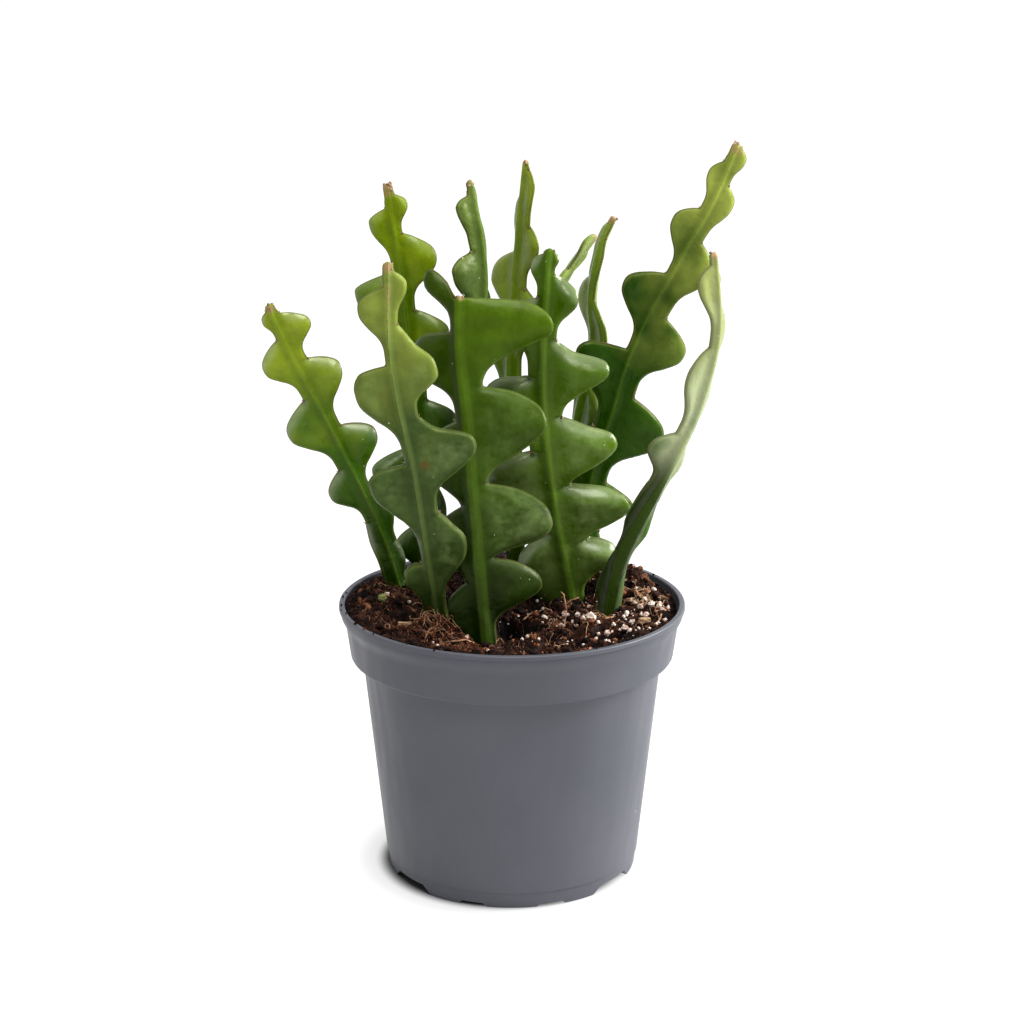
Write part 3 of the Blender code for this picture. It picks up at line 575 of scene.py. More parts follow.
# ---- Stems ----
# Flat succulent blades, each grown as one piece round a woody rib, with lobes that alternate from
# side to side and a waxy skin.  They are rooted cuttings, so their feet sit about 8 mm deep.
FOOT_DEPTH = 8.5
RIB_THICK, BLADE_THICK = (1.75, 0.8), (0.95, 0.5)  # half thickness at the foot and at the tip
RIB_SPREAD = (0.9, 0.4)  # how far the rib's flanks reach, at the foot and at the tip
FOOT_WAIST, PEG_HALF_WIDTH, TIP_HALF_WIDTH, TIP_ROUNDING = 2.1, 1.7, 0.75, 0.8
BEND = 0.9  # how far the lobes lean out of the blade's plane
STEM_ROWS, WING_COLUMNS = 230, 16
FRAME_STEPS, RIM_STEPS = 700, 900  # points at which a rib's frame and a wing's outline are read
SLOPE_REACH = 0.9  # how far up and down the rib its direction is taken
# A lobe's flank from its notch up to its tip: shares of the way up and of the way out.
FLANK = ((0.14, 0.0), (0.32, 0.04), (0.48, 0.22), (0.64, 0.58), (0.82, 0.92))
FULL_FLANK = ((0.10, 0.10), (0.22, 0.34), (0.38, 0.68), (0.60, 0.90), (0.82, 0.98))  # of a swollen lobe
# Its shoulder from the tip to the next notch: shares of the way up and of the fall to the notch, for a
# lobe that is hollow (-1), plain (0) or full (1) there, and how much of its own lift each point takes.
SHOULDER_SHARES = (0.30, 0.57, 0.82)
SHOULDER_FALL = {-1: (0.14, 0.72, 0.92), 0: (0.08, 0.32, 0.67), 1: (0.02, 0.10, 0.30)}
SHOULDER_LIFT = (0.8, 1.0, 0.7)


def smooth_curve(points, steps=10):
    """Points along a smooth curve that passes through the given ones (Catmull-Rom)."""
    p = np.array(points, float)
    p = np.vstack([2 * p[0] - p[1], p, 2 * p[-1] - p[-2]])
    out = []
    for a, b, c, d in zip(p[:-3], p[1:-2], p[2:-1], p[3:]):
        for t in np.arange(steps) / steps:
            out.append(0.5 * (2 * b + (c - a) * t + (2 * a - 5 * b + 4 * c - d) * t ** 2
                              + (3 * b - a - 3 * c + d) * t ** 3))
    out.append(p[-2])
    return np.array(out)


def run_lengths(points):
    return np.r_[0, np.cumsum(np.linalg.norm(np.diff(points, axis=0), axis=1))]


def read_at(points, lengths, where):
    """Points read off a line at one or many distances along it."""
    return np.stack([np.interp(where, lengths, column) for column in points.T], axis=-1)


class Stem:
    """The rib of one stem, the way that it faces, and the outline of its two wings."""

    def __init__(self, route, facing, left, right, fold=(0, 0), start=(0.5, 0.5)):
        rib = smooth_curve(route)
        down = (rib[0] - rib[1]) / np.linalg.norm(rib[0] - rib[1])
        rib = np.vstack([rib[0] + down * FOOT_DEPTH, rib])
        lengths = run_lengths(rib) - FOOT_DEPTH
        self.length = lengths[-1]
        self.fold = {-1: np.atleast_1d(fold[0]), 1: np.atleast_1d(fold[1])}
        self.edges = {-1: self.wing_outline(left, start[0]), 1: self.wing_outline(right, start[1])}
        # The frame at many heights, from which any height is read.
        self.heights = np.linspace(-FOOT_DEPTH, self.length, FRAME_STEPS)
        self.at = read_at(rib, lengths, self.heights)
        along = (read_at(rib, lengths, np.minimum(self.heights + SLOPE_REACH, self.length))
                 - read_at(rib, lengths, np.maximum(self.heights - SLOPE_REACH, -FOOT_DEPTH)))
        self.along = along / np.linalg.norm(along, axis=1, keepdims=True)
        share = np.clip(self.heights / self.length, 0, 1)
        turn = np.radians(np.interp(share, np.linspace(0, 1, len(facing)), facing))
        self.side = np.cross(self.along, np.stack([np.sin(turn), -np.cos(turn), np.zeros_like(turn)], axis=1))
        self.side /= np.linalg.norm(self.side, axis=1, keepdims=True)

    def lobe_outline(self, low, low_reach, tip, reach, high, high_reach, full=0, lift=0, swell=0):
        """The edge of one lobe from the notch below it to the notch above: flank, tip and shoulder."""
        rise, fall = tip - low, high - tip
        points = [(low, low_reach)]
        for plain, swollen in zip(FLANK, FULL_FLANK):
            up, out = (lerp(pair, swell) for pair in zip(plain, swollen))
            points.append((low + rise * up, low_reach + (reach - low_reach) * out))
        points.append((tip, reach))
        falls = zip(SHOULDER_SHARES, SHOULDER_FALL[0], SHOULDER_FALL[1 if full > 0 else -1], SHOULDER_LIFT)
        for share, plain, strong, raised in falls:
            drop = lerp((plain, strong), abs(full))
            points.append((tip + fall * share + lift * raised, reach - (reach - high_reach) * drop))
        points.append((high, high_reach))
        return smooth_curve(points, 6)

    def wing_outline(self, lobes, start):
        """(height of the lower notch, height of the upper notch, edge points) of every lobe of a wing."""
        made, low, low_reach = [], start, FOOT_WAIST
        for tip, reach, high, high_reach, *shape in lobes:
            made.append((low, high, self.lobe_outline(low, low_reach, tip, reach, high, high_reach, *shape)))
            low, low_reach = high, high_reach
        if low < self.length:
            end = (low, low_reach, lerp((low, self.length), 0.5), TIP_HALF_WIDTH * 1.2)
            made.append((low, self.length, self.lobe_outline(*end, self.length, TIP_HALF_WIDTH, 1)))
        return made

    def edge(self, side, height):
        """(height, reach, share of the lobe) of the wing's edge for the row that starts at this height."""
        if height <= self.edges[side][0][0]:
            return height, lerp((PEG_HALF_WIDTH, FOOT_WAIST), min(1, 1 + height / FOOT_DEPTH)), 0
        for low, high, points in self.edges[side]:
            if height <= high:
                lengths = run_lengths(points)
                share = (height - low) / (high - low)
                return (*read_at(points, lengths, lengths[-1] * share), share)
        return self.length, TIP_HALF_WIDTH, 1

    def place(self, height, reach, out, wing):
        """Where spots of the blade lie: heights along the rib, reaches from it, and out of its face."""
        inside = np.clip(height, -FOOT_DEPTH, self.length)
        at, along, side = (read_at(line, self.heights, inside) for line in (self.at, self.along, self.side))
        face = np.cross(side, along)
        lean = BEND * (reach / 10) ** 2 * np.sin(0.33 * height + 1.3 * wing + self.length)
        folds = self.fold[wing]
        share = np.clip(height / self.length, 0, 1)
        fold = np.radians(np.interp(share, np.linspace(0, 1, len(folds)), folds))[..., None]
        across = side * wing * np.cos(fold) + face * np.sin(fold)
        upright = face * np.cos(fold) - side * wing * np.sin(fold)
        past = (height - inside)[..., None]
        return at + along * past + across * reach[..., None] + upright * (out + lean)[..., None]


def wing_grid(stem, wing, heights, margin, puff, rib, curl):
    """Grids of one wing, a row per height: heights, reaches, distances to the margin, half thickness
    and how far the shoulder of each lobe rolls back."""
    ends = np.array([stem.edge(wing, h) for h in heights])
    column = 0.5 * (1 - np.cos(np.pi * np.arange(WING_COLUMNS + 1) / WING_COLUMNS))
    height = heights[:, None] + (ends[:, :1] - heights[:, None]) * column
    # A slim tip is rounded off over its last stretch; a lobe that reaches past the tip isn't.
    near_tip = np.clip((stem.length - heights[:, None]) / TIP_ROUNDING, 0, 1)
    slim = np.clip((2.4 - ends[:, 1:2]) / 0.8, 0, 1)
    rounded = slim * (1 - np.sqrt(1 - (1 - near_tip) ** 2))
    reach = ends[:, 1:2] * column * (1 - 0.75 * rounded)
    outline = np.vstack([[(-FOOT_DEPTH, PEG_HALF_WIDTH)], *[points for _, _, points in stem.edges[wing]]])
    outline = read_at(outline, run_lengths(outline), np.linspace(0, run_lengths(outline)[-1], RIM_STEPS))
    rim = np.hypot(height[..., None] - outline[:, 0], reach[..., None] - outline[:, 1]).min(axis=-1)
    rim[:, -1] = 0
    share = np.clip(height / stem.length, 0, 1)
    blade = lerp(BLADE_THICK, share)
    ridge = rib * (lerp(RIB_THICK, share) - blade) * np.exp(-(reach / lerp(RIB_SPREAD, share)) ** 2)
    # Lobes swell away from the rib and the rim, with a trough beside the rib, and end in a round edge.
    lobe = np.clip((reach - 2.0) / 3.5, 0, 1) * np.clip(rim / 2.5, 0, 1)
    trough = 0.24 * np.exp(-((reach - 1.7) / 0.9) ** 2) * np.clip(rim / 2, 0, 1)
    round_off = np.sqrt(np.clip(1 - (1 - np.clip(rim / margin, 0, 1)) ** 2, 0, 1))
    thick = (blade + puff * lobe - trough) * round_off + ridge * np.clip(rim / 0.8, 0, 1)
    on_shoulder = np.clip((ends[:, 2:3] - 0.5) / 0.2, 0, 1) * np.clip((reach - 0.8) / 1.5, 0, 1)
    rolled = -curl * on_shoulder * np.clip(1 - rim / 3, 0, 1) ** 2
    return height, reach, rim, thick * (1 - 0.6 * rounded), rolled


def spot_mask(height, reach, wing, spots):
    """How much of the given spots (height, reach to the right, radius) lies at each point, 0 to 1."""
    shares = np.zeros_like(height)
    for spot_height, spot_reach, radius in spots:
        far = np.hypot(height - spot_height, reach * wing - spot_reach)
        shares = np.maximum(shares, np.clip(1.4 - far / radius, 0, 1))
    return shares


SKIN_VALUES = ("grown", "rim", "across", "scar", "cork", "rolled")


def skin_material(name, foot, middle, tip, turn=0.45, low=0.02, bloom=(0.3, 0.2), bare=0.02, dusty=0.07,
                  rim_red=0.3, rib_band=(-0.5, 0.6), rib_pale=0.2, rib_colour=(112, 148, 44),
                  painted_shade=(0, 0, 0), gloss=0.3, coat_and_painted_highlight=0.0, specular=0.3):
    """Waxy green skin: dark at the foot, paler at the rib and the growing tip, with a thin rim line.

    Heights are shares of the stem's own.  The colour of the foot holds up to "low", that of the middle
    is reached at "turn", and below "bare" there is no bloom.  The dark foot is partly the older skin's
    own colour and partly painted shade.  "bloom" is how thick the wax lies at the foot and the tip, and
    "rib_band" runs from left to right of the rib, a pale band that is partly a painted highlight on the
    rib's lit flank.  "painted_shade" says how much the left side is darkened as painted shade, up to
    which height, and out from which reach.  "coat_and_painted_highlight" is how strongly the rolled
    shoulders of the lobes take a glossy coat and a painted pale highlight.
    """
    material, tree, shader = new_material(name)
    grown, rim, across, scar, cork, rolled = (
        put(tree, "Attribute", {}, "Fac", attribute_name=key) for key in SKIN_VALUES)
    broad = mask(tree, mottle, Scale=95, Detail=2, Low=0.34, High=0.66)
    cloudy = mask(tree, mottle, Scale=300, Detail=4, Low=0.32, High=0.7)
    small = mask(tree, mottle, Scale=900, Detail=5, Low=0.3, High=0.7)
    distance = across.calc("ABSOLUTE")
    foot, middle, tip = srgb(*foot), srgb(*middle), srgb(*tip)
    deep, painted_furrow_shade, rim_green = (tuple(c * share for c in middle) for share in (0.55, 0.4, 0.3))
    # From the foot to the tip; the dark foot is partly the older skin's own colour and partly painted shade.
    colour = colour_ramp((broad - 0.5) * 0.2 + grown, [(low, foot), (turn, middle), (0.95, tip)])
    colour = blend(cloudy * -0.3 + 0.3, colour, deep)
    # Wax lies in soft patches on the swollen middle of a lobe.  Where a lobe's shoulder rolls back it
    # gets a glossy coat and a painted pale highlight.
    on_lobe = rim.span(0.2, 2.6) * distance.span(1.2, 4.5)
    patchy = (cloudy * 0.6 + small * 0.4) * (on_lobe * 0.7 + 0.3)
    wax = patchy * grown.span(0.1, 0.9, *bloom) * grown.span(bare, bare + 0.14, 0.1, 1.0)
    colour = blend(wax, colour, srgb(122, 144, 84))
    shoulder_coat_and_highlight = 0
    # Painted highlight: a pale colour on the rolled shoulders, on top of their glossy coat.
    if coat_and_painted_highlight:
        shoulder_coat_and_highlight = rolled.span(0.02, 0.5) * coat_and_painted_highlight
        colour = blend(shoulder_coat_and_highlight * cloudy.span(0, 1, 0.35, 0.6), colour, srgb(176, 186, 150))
    # Painted shade: part of the left wing is darkened where it turns away from the light.
    depth, height, reach = painted_shade
    if depth:
        painted_left_shade = across.span(reach + 0.3, reach - 0.3) * grown.span(height + 0.07, height - 0.07)
        colour = blend(painted_left_shade * depth, colour, srgb(12, 30, 0))
    # The rib is a narrow ridge.  The furrow beside it is darkened as painted shade, and the rib's pale
    # band is partly its own colour and partly a painted highlight on its lit flank.
    furrow = distance.span(0.2, 0.6) * distance.span(2.0, 0.8)
    colour = blend(furrow * 0.25, colour, painted_furrow_shade)
    # Painted highlight: the rib's pale band, partly its own colour, sits on its lit flank.
    left, right = rib_band
    rib_tone_and_highlight = across.span(left - 0.2, left + 0.2) * across.span(right + 0.4, right - 0.2)
    colour = blend(rib_tone_and_highlight * rib_pale, colour, srgb(*rib_colour))
    # A hair-thin pale line follows the margin, partly its own colour and partly a painted highlight,
    # red brown where the sun caught it.
    colour = blend(rim.span(0.5, 0.28) * 0.12, colour, srgb(160, 176, 90))
    outer = rim.span(0.24, 0.08)
    colour = blend(outer * 0.35, colour, rim_green)
    colour = blend(outer * cloudy * rim_red, colour, srgb(84, 44, 26))
    # Pores, mineral spots, and old scars and cork.
    pores = mask(tree, specks, Scale=2200, Share=0.4, Size=0.22)
    minerals = mask(tree, specks, Scale=700, Share=dusty, Size=0.1)
    colour = blend(pores * 0.05, colour, srgb(170, 190, 100))
    colour = blend(minerals * 0.7, colour, srgb(220, 220, 204))
    scar *= small.span(0.1, 0.9, 0.55, 1.0)
    cork *= small.span(0, 1, 0.35, 1.0)
    colour = blend(scar, colour, srgb(104, 78, 34))
    colour = blend(cork, colour, srgb(170, 132, 98))
    rough = cloudy.span(0, 1, gloss - 0.05, gloss + 0.09) + wax * 0.4
    rough = rough.calc("ADD", (scar + cork) * 0.35, use_clamp=True)
    relief = cloudy * 1.6 + texture(tree, 1400, 3) * 0.35
    connect(shader, {
        "Base Color": colour, "Roughness": rough, "Normal": relief.bump(0.35, 0.0002), "IOR": 1.42,
        "Specular IOR Level": specular, "Specular Tint": (0.95, 1, 0.5, 1),
        "Coat Weight": shoulder_coat_and_highlight, "Coat Roughness": 0.22,
        "Subsurface Weight": 0.1, "Subsurface Radius": (0.4, 0.6, 0.05), "Subsurface Scale": 0.001,
    })
    return material


areole_parts, bristle_parts, scale_parts = [], [], []


def grow(name, skin, scars=(), cork=(), dry=8, margin=1.4, puff=0.25, rib=0.7, ripple=0.3, curl=0.3, **shape):
    """One stem: its blade as a closed skin, the pads and bristles in its notches, and its dry tip.

    "dry" is the number of scales at the tip, "margin" the width over which the blade thins to its rim,
    "puff" how far the lobes swell, "rib" and "ripple" how strongly the rib and the waves of the blade
    stand out, and "curl" how far the shoulders of the lobes roll back.
    """
    stem = Stem(**shape)
    heights = np.linspace(-FOOT_DEPTH, stem.length, STEM_ROWS)
    sheets = {}
    for wing in (-1, 1):
        height, reach, rim, thick, rolled = wing_grid(stem, wing, heights, margin, puff, rib, curl)
        wave = np.array([[noise(Vector((h, r * wing, stem.length)) * 0.2) for h, r in zip(*row)]
                         for row in zip(height, reach)]) * ripple * np.clip(reach / 2, 0, 1)
        values = (np.clip(height / stem.length, 0, 1), rim, reach * wing,
                  spot_mask(height, reach, wing, scars), spot_mask(height, reach, wing, cork), -rolled)
        for facing in (1, -1):
            sheets[wing, facing] = stem.place(height, reach, rolled + wave + facing * thick, wing), values
    joined = [(-1, 1, slice(None, None, -1)), (1, 1, slice(1, None)), (1, -1, slice(-2, None, -1)),
              (-1, -1, slice(1, -1))]
    points = np.concatenate([sheets[w, f][0][:, cut] for w, f, cut in joined], axis=1)
    size = points.shape[1]
    material = skin_material(name.replace("stem", "skin"), **skin)
    blade = mesh_object(name, points.reshape(-1, 3), tube_faces(STEM_ROWS, size), material)
    face_out(blade)
    for number, key in enumerate(SKIN_VALUES):
        values = np.concatenate([sheets[w, f][1][number][:, cut] for w, f, cut in joined], axis=1)
        record_attribute(blade, key, values.ravel())
    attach(blade, "root")
    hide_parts(name)
    for wing in (-1, 1):
        for _, notch, outline in stem.edges[wing][:-1]:
            make_areole(stem, wing, notch, outline[-1][1])
    make_tip(stem, dry)


def make_areole(stem, wing, height, reach):
    """A felt pad in a notch, with a few short bristles."""
    spot = stem.place(np.array(height + 0.05), np.array(reach - 0.08), np.array(0.0), wing)
    along, side = (read_at(values, stem.heights, height) for values in (stem.along, stem.side))
    outward = along * 0.6 + side * wing
    outward /= np.linalg.norm(outward)
    spots, faces = dice.choice(shapes)
    areole_parts.append((turned_at_random(spots, 2) * dice.uniform(0.15, 0.26) + spot, faces))
    for _ in range(dice.randint(0, 3)):
        way = outward + np.array([dice.gauss(0, 0.4) for _ in range(3)])
        way *= dice.uniform(0.3, 0.75) / np.linalg.norm(way)
        bristle_parts.append(fibre([spot, spot + way * 0.5, spot + way], 0.04, 4))


def make_tip(stem, count):
    """The shrivelled corky scales round the growing tip."""
    along, side = (read_at(values, stem.heights, stem.length) for values in (stem.along, stem.side))
    face = np.cross(side, along)
    for _ in range(count):
        spots, faces = dice.choice(shapes)
        size = dice.uniform(0.14, 0.34)
        offset = (side * dice.uniform(-0.75, 0.75) + along * dice.uniform(-1.1, 0.12)
                  + face * dice.choice((-1, 1)) * dice.uniform(0.1, 0.42))
        scale_parts.append((turned_at_random(spots * (0.8, 0.8, 1)) * size + stem.at[-1] + offset, faces))


# The outermost stem on the left, leaning out, with a lime green tip.
grow("stem_far_left",
     skin=dict(foot=(22, 48, 0), middle=(56, 98, 0), tip=(158, 176, 34), turn=0.5, bloom=(0.15, 0.25),
               rim_red=0.7, rib_band=(-0.35, 0.1), rib_pale=0.35, gloss=0.27, coat_and_painted_highlight=0.6),
     margin=1.9, puff=0.5, rib=0.6, ripple=0.7, curl=0.7, dry=9, cork=((56.2, 0, 0.8),),
     route=((-20.2, 8, 47), (-22.4, 8, 56), (-25.6, 7, 65.2), (-31.5, 5.5, 78.6), (-35.7, 4.5, 87.2),
            (-38.7, 4, 93.2), (-41.2, 3.5, 99.6)),
     facing=(35, 10, -5, -5), fold=(4, 4),
     left=((9.5, 2.4, 14.2, 2), (21.5, 5.8, 25, 2.5), (34.5, 7.7, 39.2, 2.2), (47.1, 5.8, 50.7, 1.3),
           (54.4, 2.4, 56, 0.9)),
     right=((6.5, 3, 9.5, 2.2), (14.3, 3.2, 19.5, 1.4), (29, 6.5, 32.5, 1.6), (42.4, 6.6, 45.6, 2.2),
            (52, 5.6, 55, 1.2)))

# The stem nearest the front on the left, with a grey bloom and a strong rib.
grow("stem_front_left",
     skin=dict(foot=(48, 70, 22), middle=(46, 70, 24), tip=(144, 158, 62), turn=0.55, bloom=(0.7, 0.5),
               rim_red=0.15, rib_band=(0, 0.8), rib_pale=0.35, rib_colour=(118, 142, 74), gloss=0.38),
     margin=0.9, puff=0.15, rib=0.8, ripple=0.35, curl=0.5, scars=((29.5, 2.4, 0.8),),
     cork=((63, 0, 1), *[(60 - 0.9 * n, 0.1, 0.38 - 0.02 * n) for n in range(10)]),
     route=((-12.9, -7.3, 47.8), (-14.6, -12, 61.3), (-16.5, -14.5, 75.3), (-19.1, -15, 88.6),
            (-20.1, -15, 98.4), (-19.9, -15, 109.9)),
     facing=(-6, 0, 6), fold=(4, 6),
     left=((9, 4.2, 11.4, 0.9, 0.5), (27.5, 7.4, 30, 0.9, 0.8), (43.2, 6.5, 46.8, 0.8, 1),
           (56.3, 4.8, 59.6, 0.8)),
     right=((15.2, 7.2, 20.8, 3.3, -0.3), (31.8, 11.4, 37.5, 3.1, -0.9), (44.8, 7.5, 53.5, 1.7, -0.5),
            (60, 3.1, 62.3, 0.9)))

# Behind it on the left, with thick glossy lobes.
grow("stem_back_left",
     skin=dict(foot=(20, 50, 0), middle=(54, 92, 0), tip=(138, 160, 2), bloom=(0.1, 0.05),
               rib_band=(-0.3, 0.3), rib_pale=0.15, gloss=0.25, coat_and_painted_highlight=0.3, specular=0.22),
     margin=2, puff=0.5, rib=0.4, ripple=0.5, curl=0.7, dry=26, cork=((70.6, 0, 1.3),),
     route=((-15.5, 14.5, 47.5), (-15.8, 15, 62), (-17, 15, 80), (-18.8, 14.5, 100), (-20.2, 14, 111),
            (-21.4, 14, 118.6)),
     facing=(8, 0, -4), fold=(3, 8),
     left=((6.3, 5.2, 9.6, 2.4), (20.8, 8.8, 24.3, 2.4), (35.3, 7.4, 38.3, 2), (53, 8.6, 56, 1.6),
           (65, 4.4, 67.3, 1.1)),
     right=((12.4, 4, 17.5, 2.2), (29.5, 6.8, 32.7, 2.2), (44.9, 7.1, 48.9, 1.7),
            (57.9, 6.4, 62.6, 1.2), (67.6, 2.9, 69.5, 0.9)))

# The broadest one, in front of the middle, its left wing folded back and darkened with painted shade.
grow("stem_front_centre",
     skin=dict(foot=(0, 14, 0), middle=(44, 70, 0), tip=(76, 106, 0), turn=0.5, bloom=(0.7, 0.06),
               bare=0.17, dusty=0.2, rib_band=(-0.2, 1.1), rib_pale=0.14, painted_shade=(0.6, 1.2, -0.4),
               gloss=0.34, coat_and_painted_highlight=0.1, specular=0.2),
     margin=1.3, puff=0.4, rib=0.3, ripple=0.5, curl=0.5, dry=2, cork=((57.6, 0.5, 0.5),),
     route=((-4.6, -12.7, 45.5), (-5.4, -11.5, 54), (-6.6, -9.6, 68.1), (-7.7, -8, 81.9),
            (-8.9, -6.5, 94), (-8.9, -6, 102.8)),
     facing=(6, 2, 0), fold=(-30, -4), start=(-4, 0.5),
     left=((5.5, 6.2, 9.6, 2.6, 0, 0, 1), (17, 8.4, 22.6, 2.2, 0, 0, 0.5), (33, 8.2, 37, 1.8, 0, 0, 1),
           (47.8, 9.4, 51.8, 1.5, 1), (60.3, 6.6, 57.4, 0.5, 0, 3)),
     right=((8, 10.8, 13.6, 2.7, 0.3), (19, 13.2, 26.2, 2.7, 0.3, 0, 1),
            (35.9, 13.4, 42.4, 3.4, 0.3, 0, 0.5), (52.6, 15.8, 57.6, 0.8, 0.85, 0.6, 0.3)))

# A slim one behind, seen half from the side.
grow("stem_rear_left_slim",
     skin=dict(foot=(20, 46, 0), middle=(40, 70, 0), tip=(86, 104, 40), turn=0.5, bloom=(0.2, 0.25),
               dusty=0.2, rib_band=(-0.4, 0.4), gloss=0.4),
     margin=1.5, rib=0.5, dry=3, cork=((72.2, 0, 0.5),),
     route=((-6.5, 12.5, 48), (-6.8, 12.2, 62), (-8, 11, 80), (-6.2, 10.3, 94), (-4.9, 10, 101),
            (-5.5, 9.5, 110), (-7.2, 9, 119.8)),
     facing=(45, 48, 45), fold=(0, -30),
     left=((7, 5, 11, 1.8), (24, 7.6, 29, 2.4), (40.5, 8.2, 45, 2.6), (57.8, 7.4, 60.4, 2.6, 0.4),
           (68.4, 4, 70, 1.2, 0.5)),
     right=((9, 6, 13, 2.4), (21.5, 7, 25.5, 2.2), (36, 6.4, 40, 1.8), (50, 5.4, 54, 1.3),
            (62.4, 3.2, 66, 0.9), (70.4, 1.7, 71.6, 0.7)))

# Behind the middle, turned to the left.
grow("stem_rear_centre",
     skin=dict(foot=(26, 54, 0), middle=(86, 118, 2), tip=(140, 156, 44), bloom=(0.25, 0.1), rim_red=0.25,
               rib_band=(-0.4, 0.4), gloss=0.28),
     margin=1.5, rib=0.5, dry=7, cork=((74.4, 0, 0.8),),
     route=((0.8, 17.5, 48), (0, 18, 64), (-0.2, 18, 85.4), (0.5, 18, 99.4), (1.2, 17.5, 109.2),
            (2.4, 17, 122.2)),
     facing=(-40, -45, -62),
     left=((12, 7, 16, 2.4), (27, 8, 31.5, 2.5), (41, 5.6, 44, 1.8), (53.6, 6.8, 58.2, 0.9),
           (65, 2.2, 68, 0.8)),
     right=((17, 7.6, 21.5, 2.4), (32, 8.6, 36, 2.4), (47, 7.4, 52, 2.8), (60, 6.2, 63.2, 3),
            (69.3, 3.4, 73, 1.2)))

# The other broad one, right of the middle, with thick glossy shoulders that carry a painted highlight.
grow("stem_middle_right",
     skin=dict(foot=(72, 98, 30), middle=(76, 108, 8), tip=(56, 88, 0), turn=0.4, bloom=(1, 0),
               dusty=0.16, rim_red=0.15, rib_band=(-0.45, 0.5), rib_pale=0.35, gloss=0.25, coat_and_painted_highlight=0.6,
               specular=0.26),
     margin=2.4, puff=0.7, rib=0.5, ripple=0.5, curl=1.1, dry=0,
     route=((10.7, 4.7, 47.4), (9, 3.4, 56), (7, 1.6, 68), (5.5, -0.2, 82), (5.3, -1, 94),
            (6.3, -1, 109.8)),
     facing=(4, 4, 0), fold=(-10, 6), start=(-4, 0.5),
     left=((7, 8.4, 12.6, 2.8, 0, 0, 1), (23.8, 11.2, 27.9, 3.1, 1, 0, 0.4), (38, 10.2, 41.3, 2.6, 0.8),
           (51, 6.5, 54.8, 1.6), (60.3, 3.1, 62.4, 0.9)),
     right=((7.2, 9, 10.2, 4.4, 0.3, 0, 0.35), (15.3, 12.9, 21.2, 2.9, 0.6, 0, 0.6),
            (27.8, 11.9, 33.8, 2.9, -0.35, 0, 0.6), (42.8, 11.2, 47.6, 2.2, -0.8, 0, 0.3),
            (55, 5.4, 59, 1.1), (61.5, 1.7, 62.8, 0.8)))

# A narrow one behind that leans to the right at its tip.
grow("stem_rear_leaning",
     skin=dict(foot=(28, 54, 2), middle=(94, 122, 36), tip=(140, 158, 76)),
     cork=((64.2, 0, 1),),
     route=((6.8, 21, 48), (5.5, 21.5, 62), (5.2, 20, 80), (6.5, 17.5, 94.7), (9.7, 15.5, 102.8),
            (14.3, 14.5, 109.6)),
     facing=(60, 66, 72),
     left=((11, 4.2, 15, 2), (26, 4.4, 30, 2), (41, 4.4, 45, 1.8), (54, 4.6, 57.4, 1.6),
           (62.6, 3.4, 65, 1)),
     right=((18, 4.2, 22, 2), (34, 4.4, 38, 1.8), (48, 4.6, 51.6, 1.6), (59.6, 5, 62, 1)))

# The slim one behind on the right, seen nearly edge on.
grow("stem_rear_right_slim",
     skin=dict(foot=(28, 54, 2), middle=(86, 116, 18), tip=(138, 156, 60), bloom=(0.3, 0.15)),
     cork=((65, 0, 1.3),),
     route=((12, 19.3, 48), (12, 21, 60), (12, 22, 74), (14.7, 21.5, 88), (14.2, 20.8, 97),
            (15.5, 20.3, 106), (17.8, 20, 112)),
     facing=(-50, -66, -70),
     left=((9, 5, 13, 2.2), (22, 7.2, 27, 2.4), (36, 7.2, 40.6, 2.4), (49.5, 6.4, 53.6, 2.2),
           (61.6, 2.6, 63.9, 0.9)),
     right=((16, 6, 20, 2.2), (29.5, 6.4, 34, 1.8), (43, 4.2, 50, 0.8), (56.5, 1.4, 61, 0.8)))

# The tallest, which leans out to the right.
grow("stem_tall_right",
     skin=dict(foot=(44, 74, 8), middle=(28, 64, 0), tip=(172, 184, 80), turn=0.56, bloom=(0.02, 0.2),
               rim_red=0.7, rib_band=(-0.35, 0), specular=0.14),
     margin=1, rib=0.5, ripple=0.4, dry=16, scars=((35.5, 3.2, 0.6),), cork=((82, 0, 1.3),),
     route=((13.2, 13, 48.5), (13.6, 13, 65), (17.6, 12.6, 79), (21.3, 12, 91), (29, 11, 106.4),
            (34.2, 11, 115.8), (38.3, 11, 125.8)),
     facing=(8, 4, 0), fold=(3, 0),
     left=((10, 5.5, 14, 2.4), (23.5, 6.4, 27.4, 2.4), (39.8, 9.3, 42.4, 1, 1), (53, 6.7, 57.2, 1),
           (66.3, 4.7, 69.8, 1.5), (76.2, 2.8, 78.8, 1.1)),
     right=((3.6, 3, 8.2, 2.4), (12.8, 8.4, 17.8, 3), (28.2, 10.7, 34.2, 3.1), (45, 9.2, 50.1, 3.1),
            (60.5, 6.2, 64.8, 2), (72.4, 3.6, 75.2, 1.4), (80, 2.5, 82, 0.9)))

